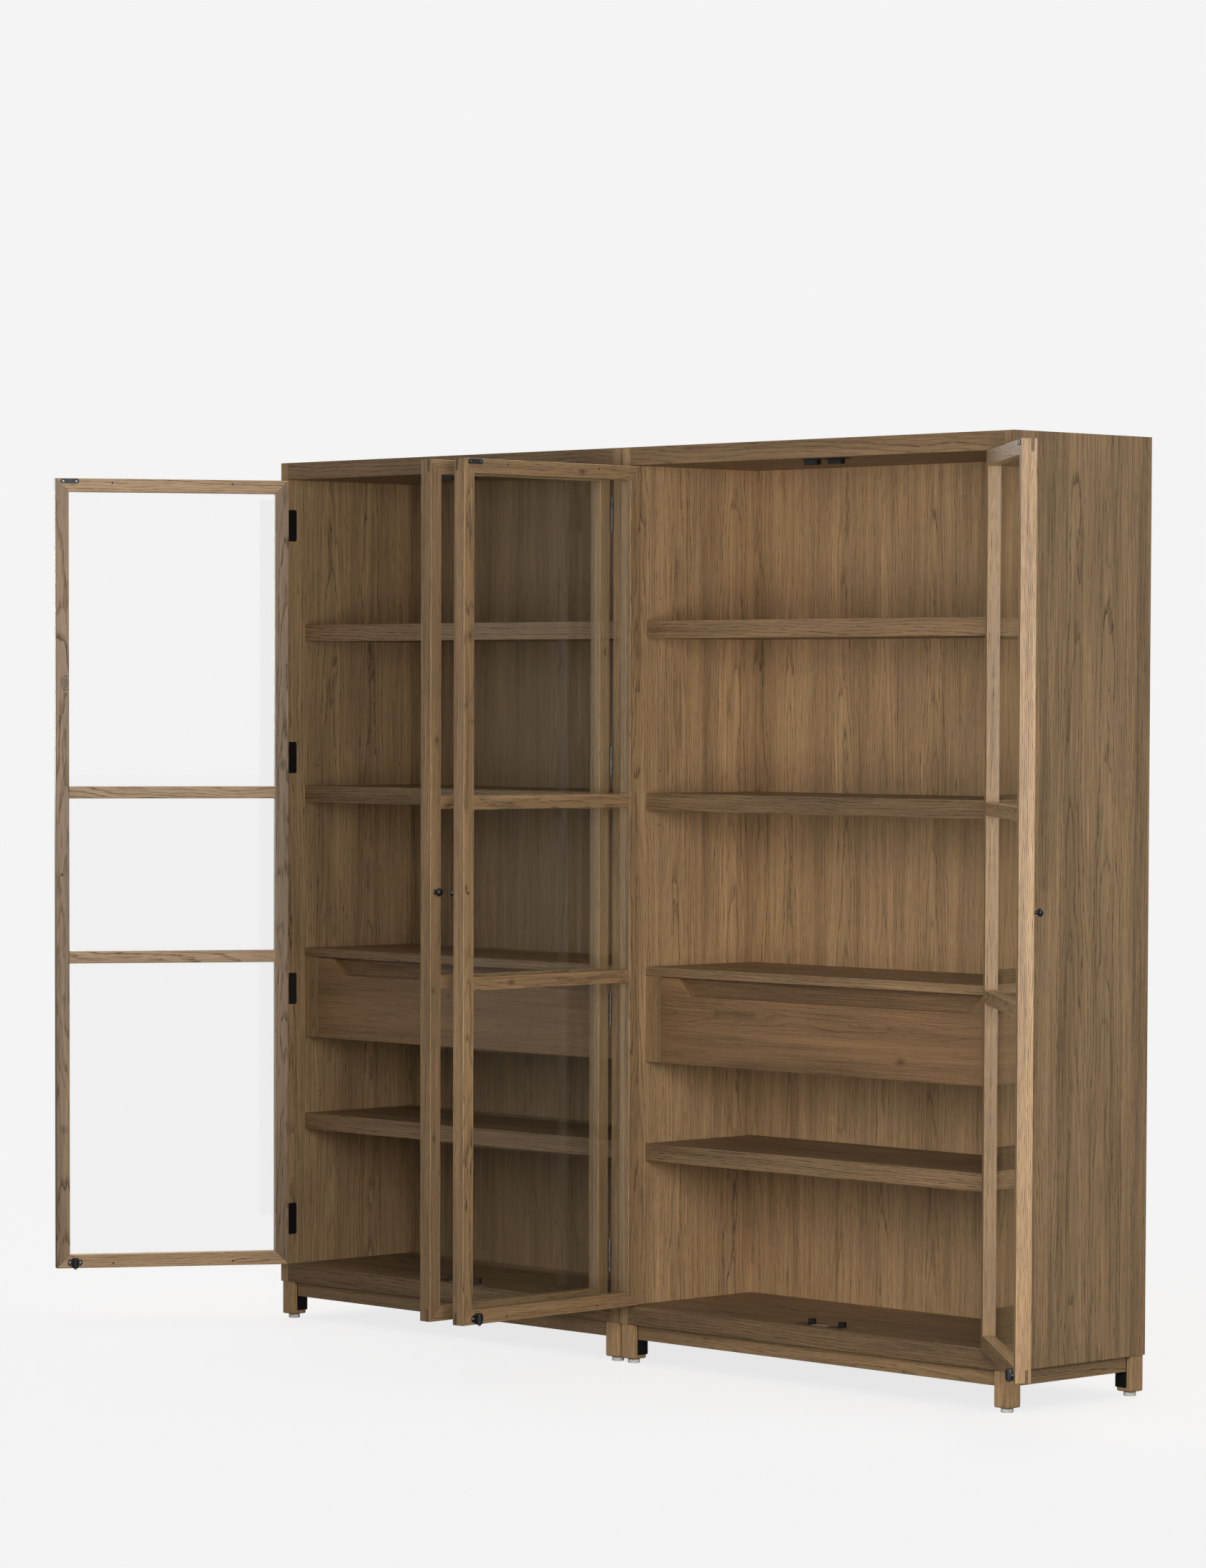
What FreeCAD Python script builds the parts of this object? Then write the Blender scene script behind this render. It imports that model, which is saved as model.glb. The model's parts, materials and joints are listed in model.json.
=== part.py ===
"""A pair of glazed oak bookcases that stand side by side, in millimetres.

The model is drawn with x = 0 midway between the two cabinets, y = 0 on the front edges of the side
panels (+y runs to the back) and z = 0 on the floor. At the end everything is moved sideways, so that
the origin lies on the floor at the centre of the box round the cabinets with their doors open.
"""

import FreeCAD, Part
import math
import os
from FreeCAD import Vector

# ---------------------------------------------------------------- driving sizes
OVERALL_HEIGHT = 2134.0
CABINET_WIDTH = 1216.0
CABINET_GAP = 6.0
CABINET_DEPTH = 456.0
SIDE_THICKNESS = 26.0

TOP_THICKNESS = 42.0
FLOOR_TOP = 136.5
FLOOR_BOTTOM = 92.0
BACK_FRONT = 409.0
BACK_THICKNESS = 18.0

# adjustable shelves, from the underside of each
SHELF_THICKNESS = 41.0
SHELF_SETBACK = 55.0
SHELF_UNDERSIDES = {"lower": 472.0, "middle": 1291.0, "upper": 1692.0}
SHELF_SIDE_CLEARANCE = 1.0
SHELF_BACK_CLEARANCE = 2.0
PIN_RADIUS = 2.5
PIN_LENGTH = 20.0
PIN_IN_PANEL = 12.0
PIN_BELOW_SHELF_TOP = 12.0
PIN_ROWS = (99.0, 371.0)
PIN_PITCH = 64.0
PIN_CLEARANCE = 0.05
PIN_SHORT_OF_HOLE_END = 0.1
PIN_SLOT_CLEARANCE = 0.3
PIN_SLOT_END_CLEARANCE = 2.0

# drawer unit
DRAWER_SHELF_BOTTOM = 905.0
DRAWER_SHELF_THICKNESS = 21.5
FILLER_WIDTH = 48.0
FILLER_SETBACK = 56.0
FILLER_STRIP = 20.0
DRAWER_BOTTOM = 704.0
DRAWER_FRONT_THICKNESS = 20.0
DRAWER_FRONT_GAP = 1.5
PULL_DEPTH = 41.0
PULL_TOP_HALF = 476.0
PULL_BOTTOM_HALF = 433.5
DRAWER_BOARD = 16.0
DRAWER_BOX_LENGTH = 325.0
DRAWER_BASE_THICKNESS = 8.0
DRAWER_BOX_ABOVE_FRONT_EDGE = 6.0
DRAWER_SIDE_BELOW_SHELF = 25.0
DRAWER_SIDE_GAP = 10.0
RUNNER_ABOVE_DRAWER_BOTTOM = 100.0
RUNNER_START_GAP = 4.0
RUNNER_HEIGHT = 22.0
RUNNER_REACH = 20.0
RUNNER_CLEARANCE = 0.5

# doors
DOOR_THICKNESS = 33.0
DOOR_MEMBER = 33.0
DOOR_SIDE_GAP = 2.0
DOOR_MEETING_GAP = 3.0
DOOR_END_GAP = 3.5
MUNTIN_HEIGHT = 29.5
MUNTIN_CENTRES = (909.5, 1316.5)
GLASS_THICKNESS = 5.0
GLASS_IN_GROOVE = 7.0
GROOVE_CLEARANCE = 0.3
KEY_SIZE = 28.0
KEY_THICKNESS = 7.0
KEY_FROM_FACE = 6.0
RAIL_HOLE_RADIUS = 2.2
RAIL_HOLE_DEPTH = 9.0
RAIL_HOLE_FROM_EDGE = 10.5
RAIL_HOLE_HALF_PITCH = 149.0
DOOR_OPENINGS = {1: 121.8, 2: 92.3, 3: 87.1, 4: 139.2}

# knobs
KNOB_HEIGHT = 1114.5
KNOB_FROM_EDGE = 14.5
KNOB_RADIUS = 9.2
KNOB_PROJECTION = 21.0
KNOB_NECK_RADIUS = 3.6
KNOB_NECK_SHARE = 0.45
KNOB_RIM_SHARE = 0.62
KNOB_EDGE_ROUNDING = 2.5
KNOB_ROSE_RADIUS = 6.0
KNOB_ROSE_THICKNESS = 1.5
KNOB_SCREW_RADIUS = 2.0
KNOB_SCREW_HEAD_RADIUS = 4.0
KNOB_SCREW_HEAD_THICKNESS = 2.5
KNOB_SCREW_SUNK = 1.0

# hinges
HINGE_LENGTH = 78.0
HINGE_PITCH = 576.5
HINGE_AXIS_FORWARD = 4.5
KNUCKLE_RADIUS = 3.9
HINGE_PIN_RADIUS = 1.8
HINGE_PIN_CLEARANCE = 0.06
KNUCKLES = 5
KNUCKLE_END_GAP = 0.3
LEAF_THICKNESS = 0.8
LEAF_REACH = 28.0

# catches: magnet blocks under the top, spring plungers on the doors, keepers on the floor
STRIKE_FROM_HINGE_EDGE = 543.0
STRIKE_LENGTH = 46.0
STRIKE_WIDTH = 12.0
STRIKE_THICKNESS = 1.6
STRIKE_BELOW_EDGE = 6.8
STRIKE_SCREW_PITCH = 32.0
STRIKE_SCREW_RADIUS = 2.6
STRIKE_SCREW_CLEARANCE = 0.1
MAGNET_GAP = 0.4
MAGNET_BODY = (40.0, 15.0, 12.0)
MAGNET_PLATE = (57.0, 24.0, 1.8)
MAGNET_EDGE_ROUNDING = 2.0
MAGNET_PLATE_BEHIND_FACE = 1.0
LATCH_FROM_HINGE_EDGE = 533.0
LATCH_PLATE_LENGTH = 37.0
LATCH_PLATE_WIDTH = 17.0
LATCH_PLATE_THICKNESS = 2.0
LATCH_BODY_RADIUS = 7.5
LATCH_BODY_HEIGHT = 24.0
LATCH_ABOVE_EDGE = 1.5
PLUNGER_RADIUS = 4.5
PLUNGER_CLEARANCE = 0.08
PLUNGER_LENGTH = 12.5
PLUNGER_BORE_DEPTH = 17.0
PLUNGER_NOSE_ROUNDING = 2.7
PLUNGER_BELOW_EDGE = 2.3
KEEPER_BASE = (40.0, 26.0, 0.8)
KEEPER_BLOCK = (17.0, 9.0, 12.0)
KEEPER_BEHIND_LATCH = 1.5
SMALL_SCREW_RADIUS = 3.2
SMALL_SCREW_HEAD = 1.2

# base
LEG_SIZE = 41.0
LEG_INSET = 3.0
LEG_BOTTOM = 10.7
LEG_ROUNDING = 4.0
LEG_BORE_DEPTH = 38.0
APRON_SETBACK = 12.0
APRON_THICKNESS = 20.0
APRON_BOTTOM = 56.0
APRON_ROUNDING = 5.0
BRACKET_THICKNESS = 2.5
BRACKET_BOTTOM = 20.0
BRACKET_SCREW_IN = 11.0
BRACKET_SCREW_UP = 11.0
GLIDE_RADIUS = 14.0
GLIDE_BOTTOM_RADIUS = 12.5
GLIDE_HEIGHT = 9.0
GLIDE_EDGE_HEIGHT = 1.5
STEM_RADIUS = 4.0
STEM_LENGTH = 36.0
STEM_CLEARANCE = 0.06

# ---------------------------------------------------------------- sizes that follow
INNER_WIDTH = CABINET_WIDTH - 2 * SIDE_THICKNESS
TOP_UNDERSIDE = OVERALL_HEIGHT - TOP_THICKNESS
DOOR_BOTTOM = FLOOR_TOP + DOOR_END_GAP
DOOR_TOP = TOP_UNDERSIDE - DOOR_END_GAP
DOOR_WIDTH = (INNER_WIDTH - 2 * DOOR_SIDE_GAP - DOOR_MEETING_GAP) / 2
# in a door's own frame x = 0 and y = 0 lie on the hinge pin, with the door shut
DOOR_LEFT = DOOR_SIDE_GAP / 2
DOOR_RIGHT = DOOR_LEFT + DOOR_WIDTH
DOOR_FACE = HINGE_AXIS_FORWARD
DOOR_BACK = DOOR_FACE + DOOR_THICKNESS
DRAWER_SHELF_TOP = DRAWER_SHELF_BOTTOM + DRAWER_SHELF_THICKNESS
RUNNER_LEVEL = DRAWER_BOTTOM + RUNNER_ABOVE_DRAWER_BOTTOM
CABINETS = {
    "left": -CABINET_GAP / 2 - CABINET_WIDTH,
    "right": CABINET_GAP / 2,
}
UP = Vector(0, 0, 1)

pieces = {}


# ---------------------------------------------------------------- small tools
def block(x0, x1, y0, y1, z0, z1):
    """A box between two x, two y and two z values."""
    return Part.makeBox(x1 - x0, y1 - y0, z1 - z0, Vector(x0, y0, z0))


def round_bar(radius, length, base, direction):
    """A round bar from base along direction."""
    return Part.makeCylinder(radius, length, base, direction)


def plate_in_xz(points, y0, y1):
    """A flat plate whose outline is drawn in x and z, between two y values."""
    corners = [Vector(x, y0, z) for x, z in points]
    outline = Part.makePolygon(corners + corners[:1])
    return Part.Face(outline).extrude(Vector(0, y1 - y0, 0))


def pill_in_xz(x, z, length, width, y0, y1):
    """A plate with round ends, lying along x."""
    half = (length - width) / 2
    radius = width / 2
    bar = block(x - half, x + half, y0, y1, z - radius, z + radius)
    for end in (x - half, x + half):
        bar = bar.fuse(round_bar(radius, y1 - y0, Vector(end, y0, z), Vector(0, 1, 0)))
    return bar.removeSplitter()


def lathe(profile, base, axis):
    """A turned piece: profile lists (distance along the axis, radius) pairs."""
    frame = FreeCAD.Placement(base, FreeCAD.Rotation(UP, axis))
    corners = [Vector(radius, 0, along) for along, radius in profile]
    outline = Part.makePolygon(corners + corners[:1])
    solid = Part.Face(outline).revolve(Vector(0, 0, 0), UP, 360)
    solid.Placement = frame
    return solid


def keep(name, shapes):
    """Store a node, as one solid or as a group of separate solids."""
    solids = shapes if isinstance(shapes, list) else [shapes]
    pieces.setdefault(name, []).extend(solids)


# ---------------------------------------------------------------- carcass
def shelf_pin_levels():
    """Height of each pin that carries a shelf, keyed by shelf."""
    return {
        name: underside + SHELF_THICKNESS - PIN_BELOW_SHELF_TOP
        for name, underside in SHELF_UNDERSIDES.items()
    }


def side_panel(x0, inner_x, inward):
    """A side panel with its shelf-pin holes; inward is +1 or -1 along x."""
    panel = block(x0, x0 + SIDE_THICKNESS, 0, CABINET_DEPTH, FLOOR_BOTTOM, OVERALL_HEIGHT)
    radius = PIN_RADIUS + PIN_CLEARANCE
    for level in shelf_pin_levels().values():
        for step in (-1, 0, 1):
            for y in PIN_ROWS:
                mouth = Vector(inner_x, y, level + step * PIN_PITCH)
                hole = round_bar(radius, PIN_IN_PANEL, mouth, Vector(-inward, 0, 0))
                panel = panel.cut(hole)
    return panel


def adjustable_shelf(x0, x1, name):
    """A shelf with slots in its ends that drop over the pins and hide them."""
    underside = SHELF_UNDERSIDES[name]
    left = x0 + SHELF_SIDE_CLEARANCE
    right = x1 - SHELF_SIDE_CLEARANCE
    back = BACK_FRONT - SHELF_BACK_CLEARANCE
    shelf = block(left, right, SHELF_SETBACK, back, underside, underside + SHELF_THICKNESS)
    pin_top = shelf_pin_levels()[name] + PIN_RADIUS
    slot_length = PIN_LENGTH - PIN_IN_PANEL + PIN_SLOT_END_CLEARANCE
    half_slot = PIN_RADIUS + PIN_SLOT_CLEARANCE
    for y in PIN_ROWS:
        for start in (x0, x1 - slot_length):
            slot = block(start, start + slot_length, y - half_slot, y + half_slot, underside, pin_top)
            shelf = shelf.cut(slot)
    return shelf


def shelf_pins(x0, x1):
    """The pins of one cabinet: two at each end of every adjustable shelf."""
    in_panel = PIN_IN_PANEL - PIN_SHORT_OF_HOLE_END
    pins = []
    for level in shelf_pin_levels().values():
        for y in PIN_ROWS:
            left = Vector(x0 - in_panel, y, level)
            pins.append(round_bar(PIN_RADIUS, PIN_LENGTH, left, Vector(1, 0, 0)))
            right = Vector(x1 + in_panel, y, level)
            pins.append(round_bar(PIN_RADIUS, PIN_LENGTH, right, Vector(-1, 0, 0)))
    return pins


def carcass(side, x0):
    """Panels, shelves and pins of one cabinet whose left face is at x0."""
    inner_left = x0 + SIDE_THICKNESS
    inner_right = inner_left + INNER_WIDTH
    keep(f"{side}_cabinet_left_side", side_panel(x0, inner_left, 1))
    keep(f"{side}_cabinet_right_side", side_panel(inner_right, inner_right, -1))
    span = (inner_left, inner_right, 0, CABINET_DEPTH)
    keep(f"{side}_cabinet_top", block(*span, TOP_UNDERSIDE, OVERALL_HEIGHT))
    keep(f"{side}_cabinet_floor", block(*span, FLOOR_BOTTOM, FLOOR_TOP))
    back = (inner_left, inner_right, BACK_FRONT, BACK_FRONT + BACK_THICKNESS)
    keep(f"{side}_cabinet_back", block(*back, FLOOR_TOP, TOP_UNDERSIDE))
    for name in SHELF_UNDERSIDES:
        keep(f"{side}_{name}_shelf", adjustable_shelf(inner_left, inner_right, name))
    keep("shelf_pins", shelf_pins(inner_left, inner_right))


# ---------------------------------------------------------------- drawer unit
def drawer_filler(x_outer, inward):
    """The strip beside a drawer front, with the board behind it that carries the runner."""
    x_inner = x_outer + inward * FILLER_WIDTH
    x_board = x_inner - inward * DRAWER_BOARD
    strip_x = sorted((x_outer, x_inner))
    board_x = sorted((x_board, x_inner))
    heights = (DRAWER_BOTTOM, DRAWER_SHELF_BOTTOM)
    strip_back = FILLER_SETBACK + FILLER_STRIP
    strip = block(*strip_x, FILLER_SETBACK, strip_back, *heights)
    board = block(*board_x, strip_back, BACK_FRONT, *heights)
    return strip.fuse(board).removeSplitter()


def drawer_runner(x_inner, inward):
    """A hardwood bar that the groove in the drawer's side slides on."""
    reach = sorted((x_inner, x_inner + inward * RUNNER_REACH))
    start = FILLER_SETBACK + DRAWER_FRONT_THICKNESS + DRAWER_BOARD + RUNNER_START_GAP
    half = RUNNER_HEIGHT / 2
    return block(*reach, start, BACK_FRONT, RUNNER_LEVEL - half, RUNNER_LEVEL + half)


def drawer_front(x0, x1):
    """The front board, with a finger notch cut down from its top edge."""
    top = DRAWER_SHELF_BOTTOM - DRAWER_FRONT_GAP
    front = FILLER_SETBACK
    back = front + DRAWER_FRONT_THICKNESS
    board = block(x0, x1, front, back, DRAWER_BOTTOM, top)
    middle = (x0 + x1) / 2
    notch = [
        (middle - PULL_TOP_HALF, top),
        (middle - PULL_BOTTOM_HALF, top - PULL_DEPTH),
        (middle + PULL_BOTTOM_HALF, top - PULL_DEPTH),
        (middle + PULL_TOP_HALF, top),
    ]
    return board.cut(plate_in_xz(notch, front, back))


def drawer_box(x0, x1):
    """Four walls and a base; each side wall has a groove for its runner."""
    front = FILLER_SETBACK + DRAWER_FRONT_THICKNESS
    back = front + DRAWER_BOX_LENGTH
    low = DRAWER_BOTTOM + DRAWER_BOX_ABOVE_FRONT_EDGE
    side_top = DRAWER_SHELF_BOTTOM - DRAWER_SIDE_BELOW_SHELF
    left = x0 + DRAWER_SIDE_GAP
    right = x1 - DRAWER_SIDE_GAP
    inner_front = front + DRAWER_BOARD
    inner_back = back - DRAWER_BOARD
    half_groove = RUNNER_HEIGHT / 2 + RUNNER_CLEARANCE
    groove = (inner_front, back, RUNNER_LEVEL - half_groove, RUNNER_LEVEL + half_groove)
    runner_in_side = RUNNER_REACH - DRAWER_SIDE_GAP - DRAWER_FRONT_GAP
    groove_depth = runner_in_side + RUNNER_CLEARANCE
    left_side = block(left, left + DRAWER_BOARD, inner_front, back, low, side_top)
    left_side = left_side.cut(block(left, left + groove_depth, *groove))
    right_side = block(right - DRAWER_BOARD, right, inner_front, back, low, side_top)
    right_side = right_side.cut(block(right - groove_depth, right, *groove))
    inside = (left + DRAWER_BOARD, right - DRAWER_BOARD)
    sub_front = block(left, right, front, inner_front, low, DRAWER_SHELF_BOTTOM - DRAWER_FRONT_GAP)
    rear = block(*inside, inner_back, back, low, side_top)
    base = block(*inside, inner_front, inner_back, low, low + DRAWER_BASE_THICKNESS)
    return [left_side, right_side, sub_front, rear, base]


def drawer_unit(side, x0):
    """The fixed shelf, fillers, runners and drawer of one cabinet."""
    inner_left = x0 + SIDE_THICKNESS
    inner_right = inner_left + INNER_WIDTH
    shelf = (inner_left, inner_right, SHELF_SETBACK, BACK_FRONT)
    keep(f"{side}_drawer_shelf", block(*shelf, DRAWER_SHELF_BOTTOM, DRAWER_SHELF_TOP))
    fillers = [drawer_filler(inner_left, 1), drawer_filler(inner_right, -1)]
    keep(f"{side}_drawer_fillers", fillers)
    bay_left = inner_left + FILLER_WIDTH
    bay_right = inner_right - FILLER_WIDTH
    keep("drawer_runners", [drawer_runner(bay_left, 1), drawer_runner(bay_right, -1)])
    front = (bay_left + DRAWER_FRONT_GAP, bay_right - DRAWER_FRONT_GAP)
    keep(f"{side}_drawer_front", drawer_front(*front))
    keep(f"{side}_drawer_box", drawer_box(*front))


# ---------------------------------------------------------------- doors
def glass_openings():
    """Low and high z of the three lights between rails and muntins."""
    half = MUNTIN_HEIGHT / 2
    edges = [DOOR_BOTTOM + DOOR_MEMBER]
    for centre in MUNTIN_CENTRES:
        edges += [centre - half, centre + half]
    edges.append(DOOR_TOP - DOOR_MEMBER)
    return list(zip(edges[::2], edges[1::2]))


def glass_panes(extra=0.0):
    """The three panes; extra grows them into the grooves that hold them."""
    reach = GLASS_IN_GROOVE + extra
    middle = (DOOR_FACE + DOOR_BACK) / 2
    half = GLASS_THICKNESS / 2 + extra
    left = DOOR_LEFT + DOOR_MEMBER - reach
    right = DOOR_RIGHT - DOOR_MEMBER + reach
    return [
        block(left, right, middle - half, middle + half, low - reach, high + reach)
        for low, high in glass_openings()
    ]


def corner_keys():
    """Flat keys let into the mitred corners from outside."""
    front = DOOR_FACE + KEY_FROM_FACE
    back = front + KEY_THICKNESS
    lows = (DOOR_BOTTOM, DOOR_TOP - KEY_SIZE)
    lefts = (DOOR_LEFT, DOOR_RIGHT - KEY_SIZE)
    return [
        block(x, x + KEY_SIZE, front, back, z, z + KEY_SIZE) for x in lefts for z in lows
    ]


def door_holes():
    """Screw holes in the rails, and the stepped hole for the knob's screw."""
    centre = (DOOR_LEFT + DOOR_RIGHT) / 2
    levels = (DOOR_BOTTOM + RAIL_HOLE_FROM_EDGE, DOOR_TOP - RAIL_HOLE_FROM_EDGE)
    inwards = Vector(0, -1, 0)
    holes = [
        round_bar(RAIL_HOLE_RADIUS, RAIL_HOLE_DEPTH, Vector(centre + step, DOOR_BACK, z), inwards)
        for step in (-RAIL_HOLE_HALF_PITCH, RAIL_HOLE_HALF_PITCH)
        for z in levels
    ]
    knob_x = DOOR_RIGHT - KNOB_FROM_EDGE
    back = Vector(knob_x, DOOR_BACK, KNOB_HEIGHT)
    holes.append(round_bar(KNOB_SCREW_RADIUS, DOOR_THICKNESS, back, inwards))
    sink = KNOB_SCREW_HEAD_THICKNESS + KNOB_SCREW_SUNK
    holes.append(round_bar(KNOB_SCREW_HEAD_RADIUS, sink, back, inwards))
    return holes


def door_frame():
    """Four mitred members, two muntins and the corner keys."""
    x0, x1 = DOOR_LEFT, DOOR_RIGHT
    z0, z1 = DOOR_BOTTOM, DOOR_TOP
    f = DOOR_MEMBER
    outlines = [
        [(x0, z0), (x0 + f, z0 + f), (x0 + f, z1 - f), (x0, z1)],
        [(x1, z0), (x1, z1), (x1 - f, z1 - f), (x1 - f, z0 + f)],
        [(x0, z1), (x0 + f, z1 - f), (x1 - f, z1 - f), (x1, z1)],
        [(x0, z0), (x1, z0), (x1 - f, z0 + f), (x0 + f, z0 + f)],
    ]
    half = MUNTIN_HEIGHT / 2
    for centre in MUNTIN_CENTRES:
        low, high = centre - half, centre + half
        outlines.append([(x0 + f, low), (x1 - f, low), (x1 - f, high), (x0 + f, high)])
    cutters = glass_panes(GROOVE_CLEARANCE) + corner_keys() + door_holes()
    waste = Part.makeCompound(cutters)
    members = [plate_in_xz(points, DOOR_FACE, DOOR_BACK).cut(waste) for points in outlines]
    return [solid for member in members for solid in member.Solids] + corner_keys()


def knob():
    """A mushroom knob on the outer face, and the screw that holds it from inside."""
    x = DOOR_RIGHT - KNOB_FROM_EDGE
    inwards = Vector(0, 1, 0)
    profile = [
        (0.0, 0.0),
        (0.0, KNOB_ROSE_RADIUS),
        (KNOB_ROSE_THICKNESS, KNOB_ROSE_RADIUS),
        (2 * KNOB_ROSE_THICKNESS, KNOB_NECK_RADIUS),
        (KNOB_PROJECTION * KNOB_NECK_SHARE, KNOB_NECK_RADIUS),
        (KNOB_PROJECTION * KNOB_RIM_SHARE, KNOB_RADIUS),
        (KNOB_PROJECTION - KNOB_EDGE_ROUNDING, KNOB_RADIUS),
        (KNOB_PROJECTION, KNOB_RADIUS - KNOB_EDGE_ROUNDING),
        (KNOB_PROJECTION, 0.0),
    ]
    base = Vector(x, DOOR_FACE, KNOB_HEIGHT)
    head = lathe(profile, base, -inwards)
    screw = round_bar(KNOB_SCREW_RADIUS, DOOR_THICKNESS - KNOB_SCREW_SUNK, base, inwards)
    head_depth = DOOR_THICKNESS - KNOB_SCREW_SUNK - KNOB_SCREW_HEAD_THICKNESS
    head_base = base + inwards * head_depth
    screw_head = round_bar(
        KNOB_SCREW_HEAD_RADIUS, KNOB_SCREW_HEAD_THICKNESS, head_base, inwards
    )
    return [head, screw.fuse(screw_head).removeSplitter()]


def hinge_levels():
    """Lower end of each of the four hinges."""
    middle = (DOOR_BOTTOM + DOOR_TOP) / 2
    return [middle + HINGE_PITCH * step - HINGE_LENGTH / 2 for step in (-1.5, -0.5, 0.5, 1.5)]


def knuckle_spans(low, fixed):
    """z ranges of the knuckles of the fixed leaf, or of the door's leaf."""
    length = HINGE_LENGTH / KNUCKLES
    first = 0 if fixed else 1
    spans = []
    for index in range(first, KNUCKLES, 2):
        start = low + index * length
        trim = 0.0 if fixed else KNUCKLE_END_GAP
        spans.append((start + trim, start + length - trim))
    return spans


def hinge_leaf(low, fixed):
    """One leaf of a butt hinge round the door's pin at x = 0, y = 0, with the door shut."""
    root = KNUCKLE_RADIUS + 0.3
    inner = DOOR_SIDE_GAP / 2 - LEAF_THICKNESS
    outer = DOOR_SIDE_GAP / 2
    across = (-outer, -inner) if fixed else (inner, outer)
    leaf = block(*across, root, root + LEAF_REACH, low, low + HINGE_LENGTH)
    for start, end in knuckle_spans(low, fixed):
        leaf = leaf.fuse(block(*across, 0, root + 0.5, start, end))
        leaf = leaf.fuse(round_bar(KNUCKLE_RADIUS, end - start, Vector(0, 0, start), UP))
    if fixed:
        pin = round_bar(HINGE_PIN_RADIUS, HINGE_LENGTH, Vector(0, 0, low), UP)
        return leaf.fuse(pin).removeSplitter()
    bore_radius = HINGE_PIN_RADIUS + HINGE_PIN_CLEARANCE
    bore = round_bar(bore_radius, HINGE_LENGTH, Vector(0, 0, low), UP)
    return leaf.cut(bore).removeSplitter()


def strike_plate():
    """The steel plate that the magnet holds, with its two sunk screw heads."""
    x = DOOR_LEFT + STRIKE_FROM_HINGE_EDGE
    z = DOOR_TOP - STRIKE_BELOW_EDGE
    back = DOOR_BACK + STRIKE_THICKNESS
    plate = pill_in_xz(x, z, STRIKE_LENGTH, STRIKE_WIDTH, DOOR_BACK, back)
    hole_radius = STRIKE_SCREW_RADIUS + STRIKE_SCREW_CLEARANCE
    inwards = Vector(0, 1, 0)
    screws = []
    for step in (-STRIKE_SCREW_PITCH / 2, STRIKE_SCREW_PITCH / 2):
        base = Vector(x + step, DOOR_BACK, z)
        plate = plate.cut(round_bar(hole_radius, STRIKE_THICKNESS, base, inwards))
        screws.append(round_bar(STRIKE_SCREW_RADIUS, STRIKE_THICKNESS, base, inwards))
    return [plate] + screws


def latch_axis():
    """Centre line of the spring plunger in the door's own frame."""
    return DOOR_LEFT + LATCH_FROM_HINGE_EDGE, DOOR_BACK + LATCH_BODY_RADIUS


def latch_housing():
    """A round housing on an eared plate, bored from below for the plunger."""
    x, y = latch_axis()
    low = DOOR_BOTTOM + LATCH_ABOVE_EDGE
    high = low + LATCH_BODY_HEIGHT
    barrel = round_bar(LATCH_BODY_RADIUS, LATCH_BODY_HEIGHT, Vector(x, y, low), UP)
    web = block(x - LATCH_BODY_RADIUS, x + LATCH_BODY_RADIUS, DOOR_BACK, y, low, high)
    plate_back = DOOR_BACK + LATCH_PLATE_THICKNESS
    middle = (low + high) / 2
    ears = pill_in_xz(x, middle, LATCH_PLATE_LENGTH, LATCH_PLATE_WIDTH, DOOR_BACK, plate_back)
    housing = barrel.fuse(web).fuse(ears).removeSplitter()
    bore_radius = PLUNGER_RADIUS + PLUNGER_CLEARANCE
    bore = round_bar(bore_radius, PLUNGER_BORE_DEPTH, Vector(x, y, low), UP)
    housing = housing.cut(bore)
    screws = []
    reach = (LATCH_PLATE_LENGTH / 2 + LATCH_BODY_RADIUS) / 2
    for step in (-reach, reach):
        base = Vector(x + step, plate_back, middle)
        screws.append(round_bar(SMALL_SCREW_RADIUS, SMALL_SCREW_HEAD, base, Vector(0, 1, 0)))
    return [housing] + screws


def plunger():
    """The sprung bolt below the door, with a rounded nose."""
    x, y = latch_axis()
    nose = PLUNGER_NOSE_ROUNDING
    drop = nose * (1 - math.sqrt(0.5))
    profile = [
        (0.0, 0.0),
        (0.0, PLUNGER_RADIUS - nose),
        (drop, PLUNGER_RADIUS - drop),
        (nose, PLUNGER_RADIUS),
        (PLUNGER_LENGTH, PLUNGER_RADIUS),
        (PLUNGER_LENGTH, 0.0),
    ]
    return lathe(profile, Vector(x, y, DOOR_BOTTOM - PLUNGER_BELOW_EDGE), UP)


def door_axis(number):
    """Place of a door's hinge pin, and +1 where the door hangs on its left edge."""
    cabinet = CABINETS["left"] if number <= 2 else CABINETS["right"]
    inner_left = cabinet + SIDE_THICKNESS
    half_gap = DOOR_SIDE_GAP / 2
    if number in (1, 3):
        return Vector(inner_left + half_gap, -HINGE_AXIS_FORWARD, 0), 1
    return Vector(inner_left + INNER_WIDTH - half_gap, -HINGE_AXIS_FORWARD, 0), -1


def at_hinge(shape, number, opening):
    """Move a shape from the door's own frame to its cabinet, turned open by some degrees."""
    pin, hand = door_axis(number)
    placed = shape.copy() if hand > 0 else shape.mirror(Vector(0, 0, 0), Vector(1, 0, 0))
    placed.rotate(Vector(0, 0, 0), UP, -hand * opening)
    placed.translate(pin)
    return placed


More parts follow.
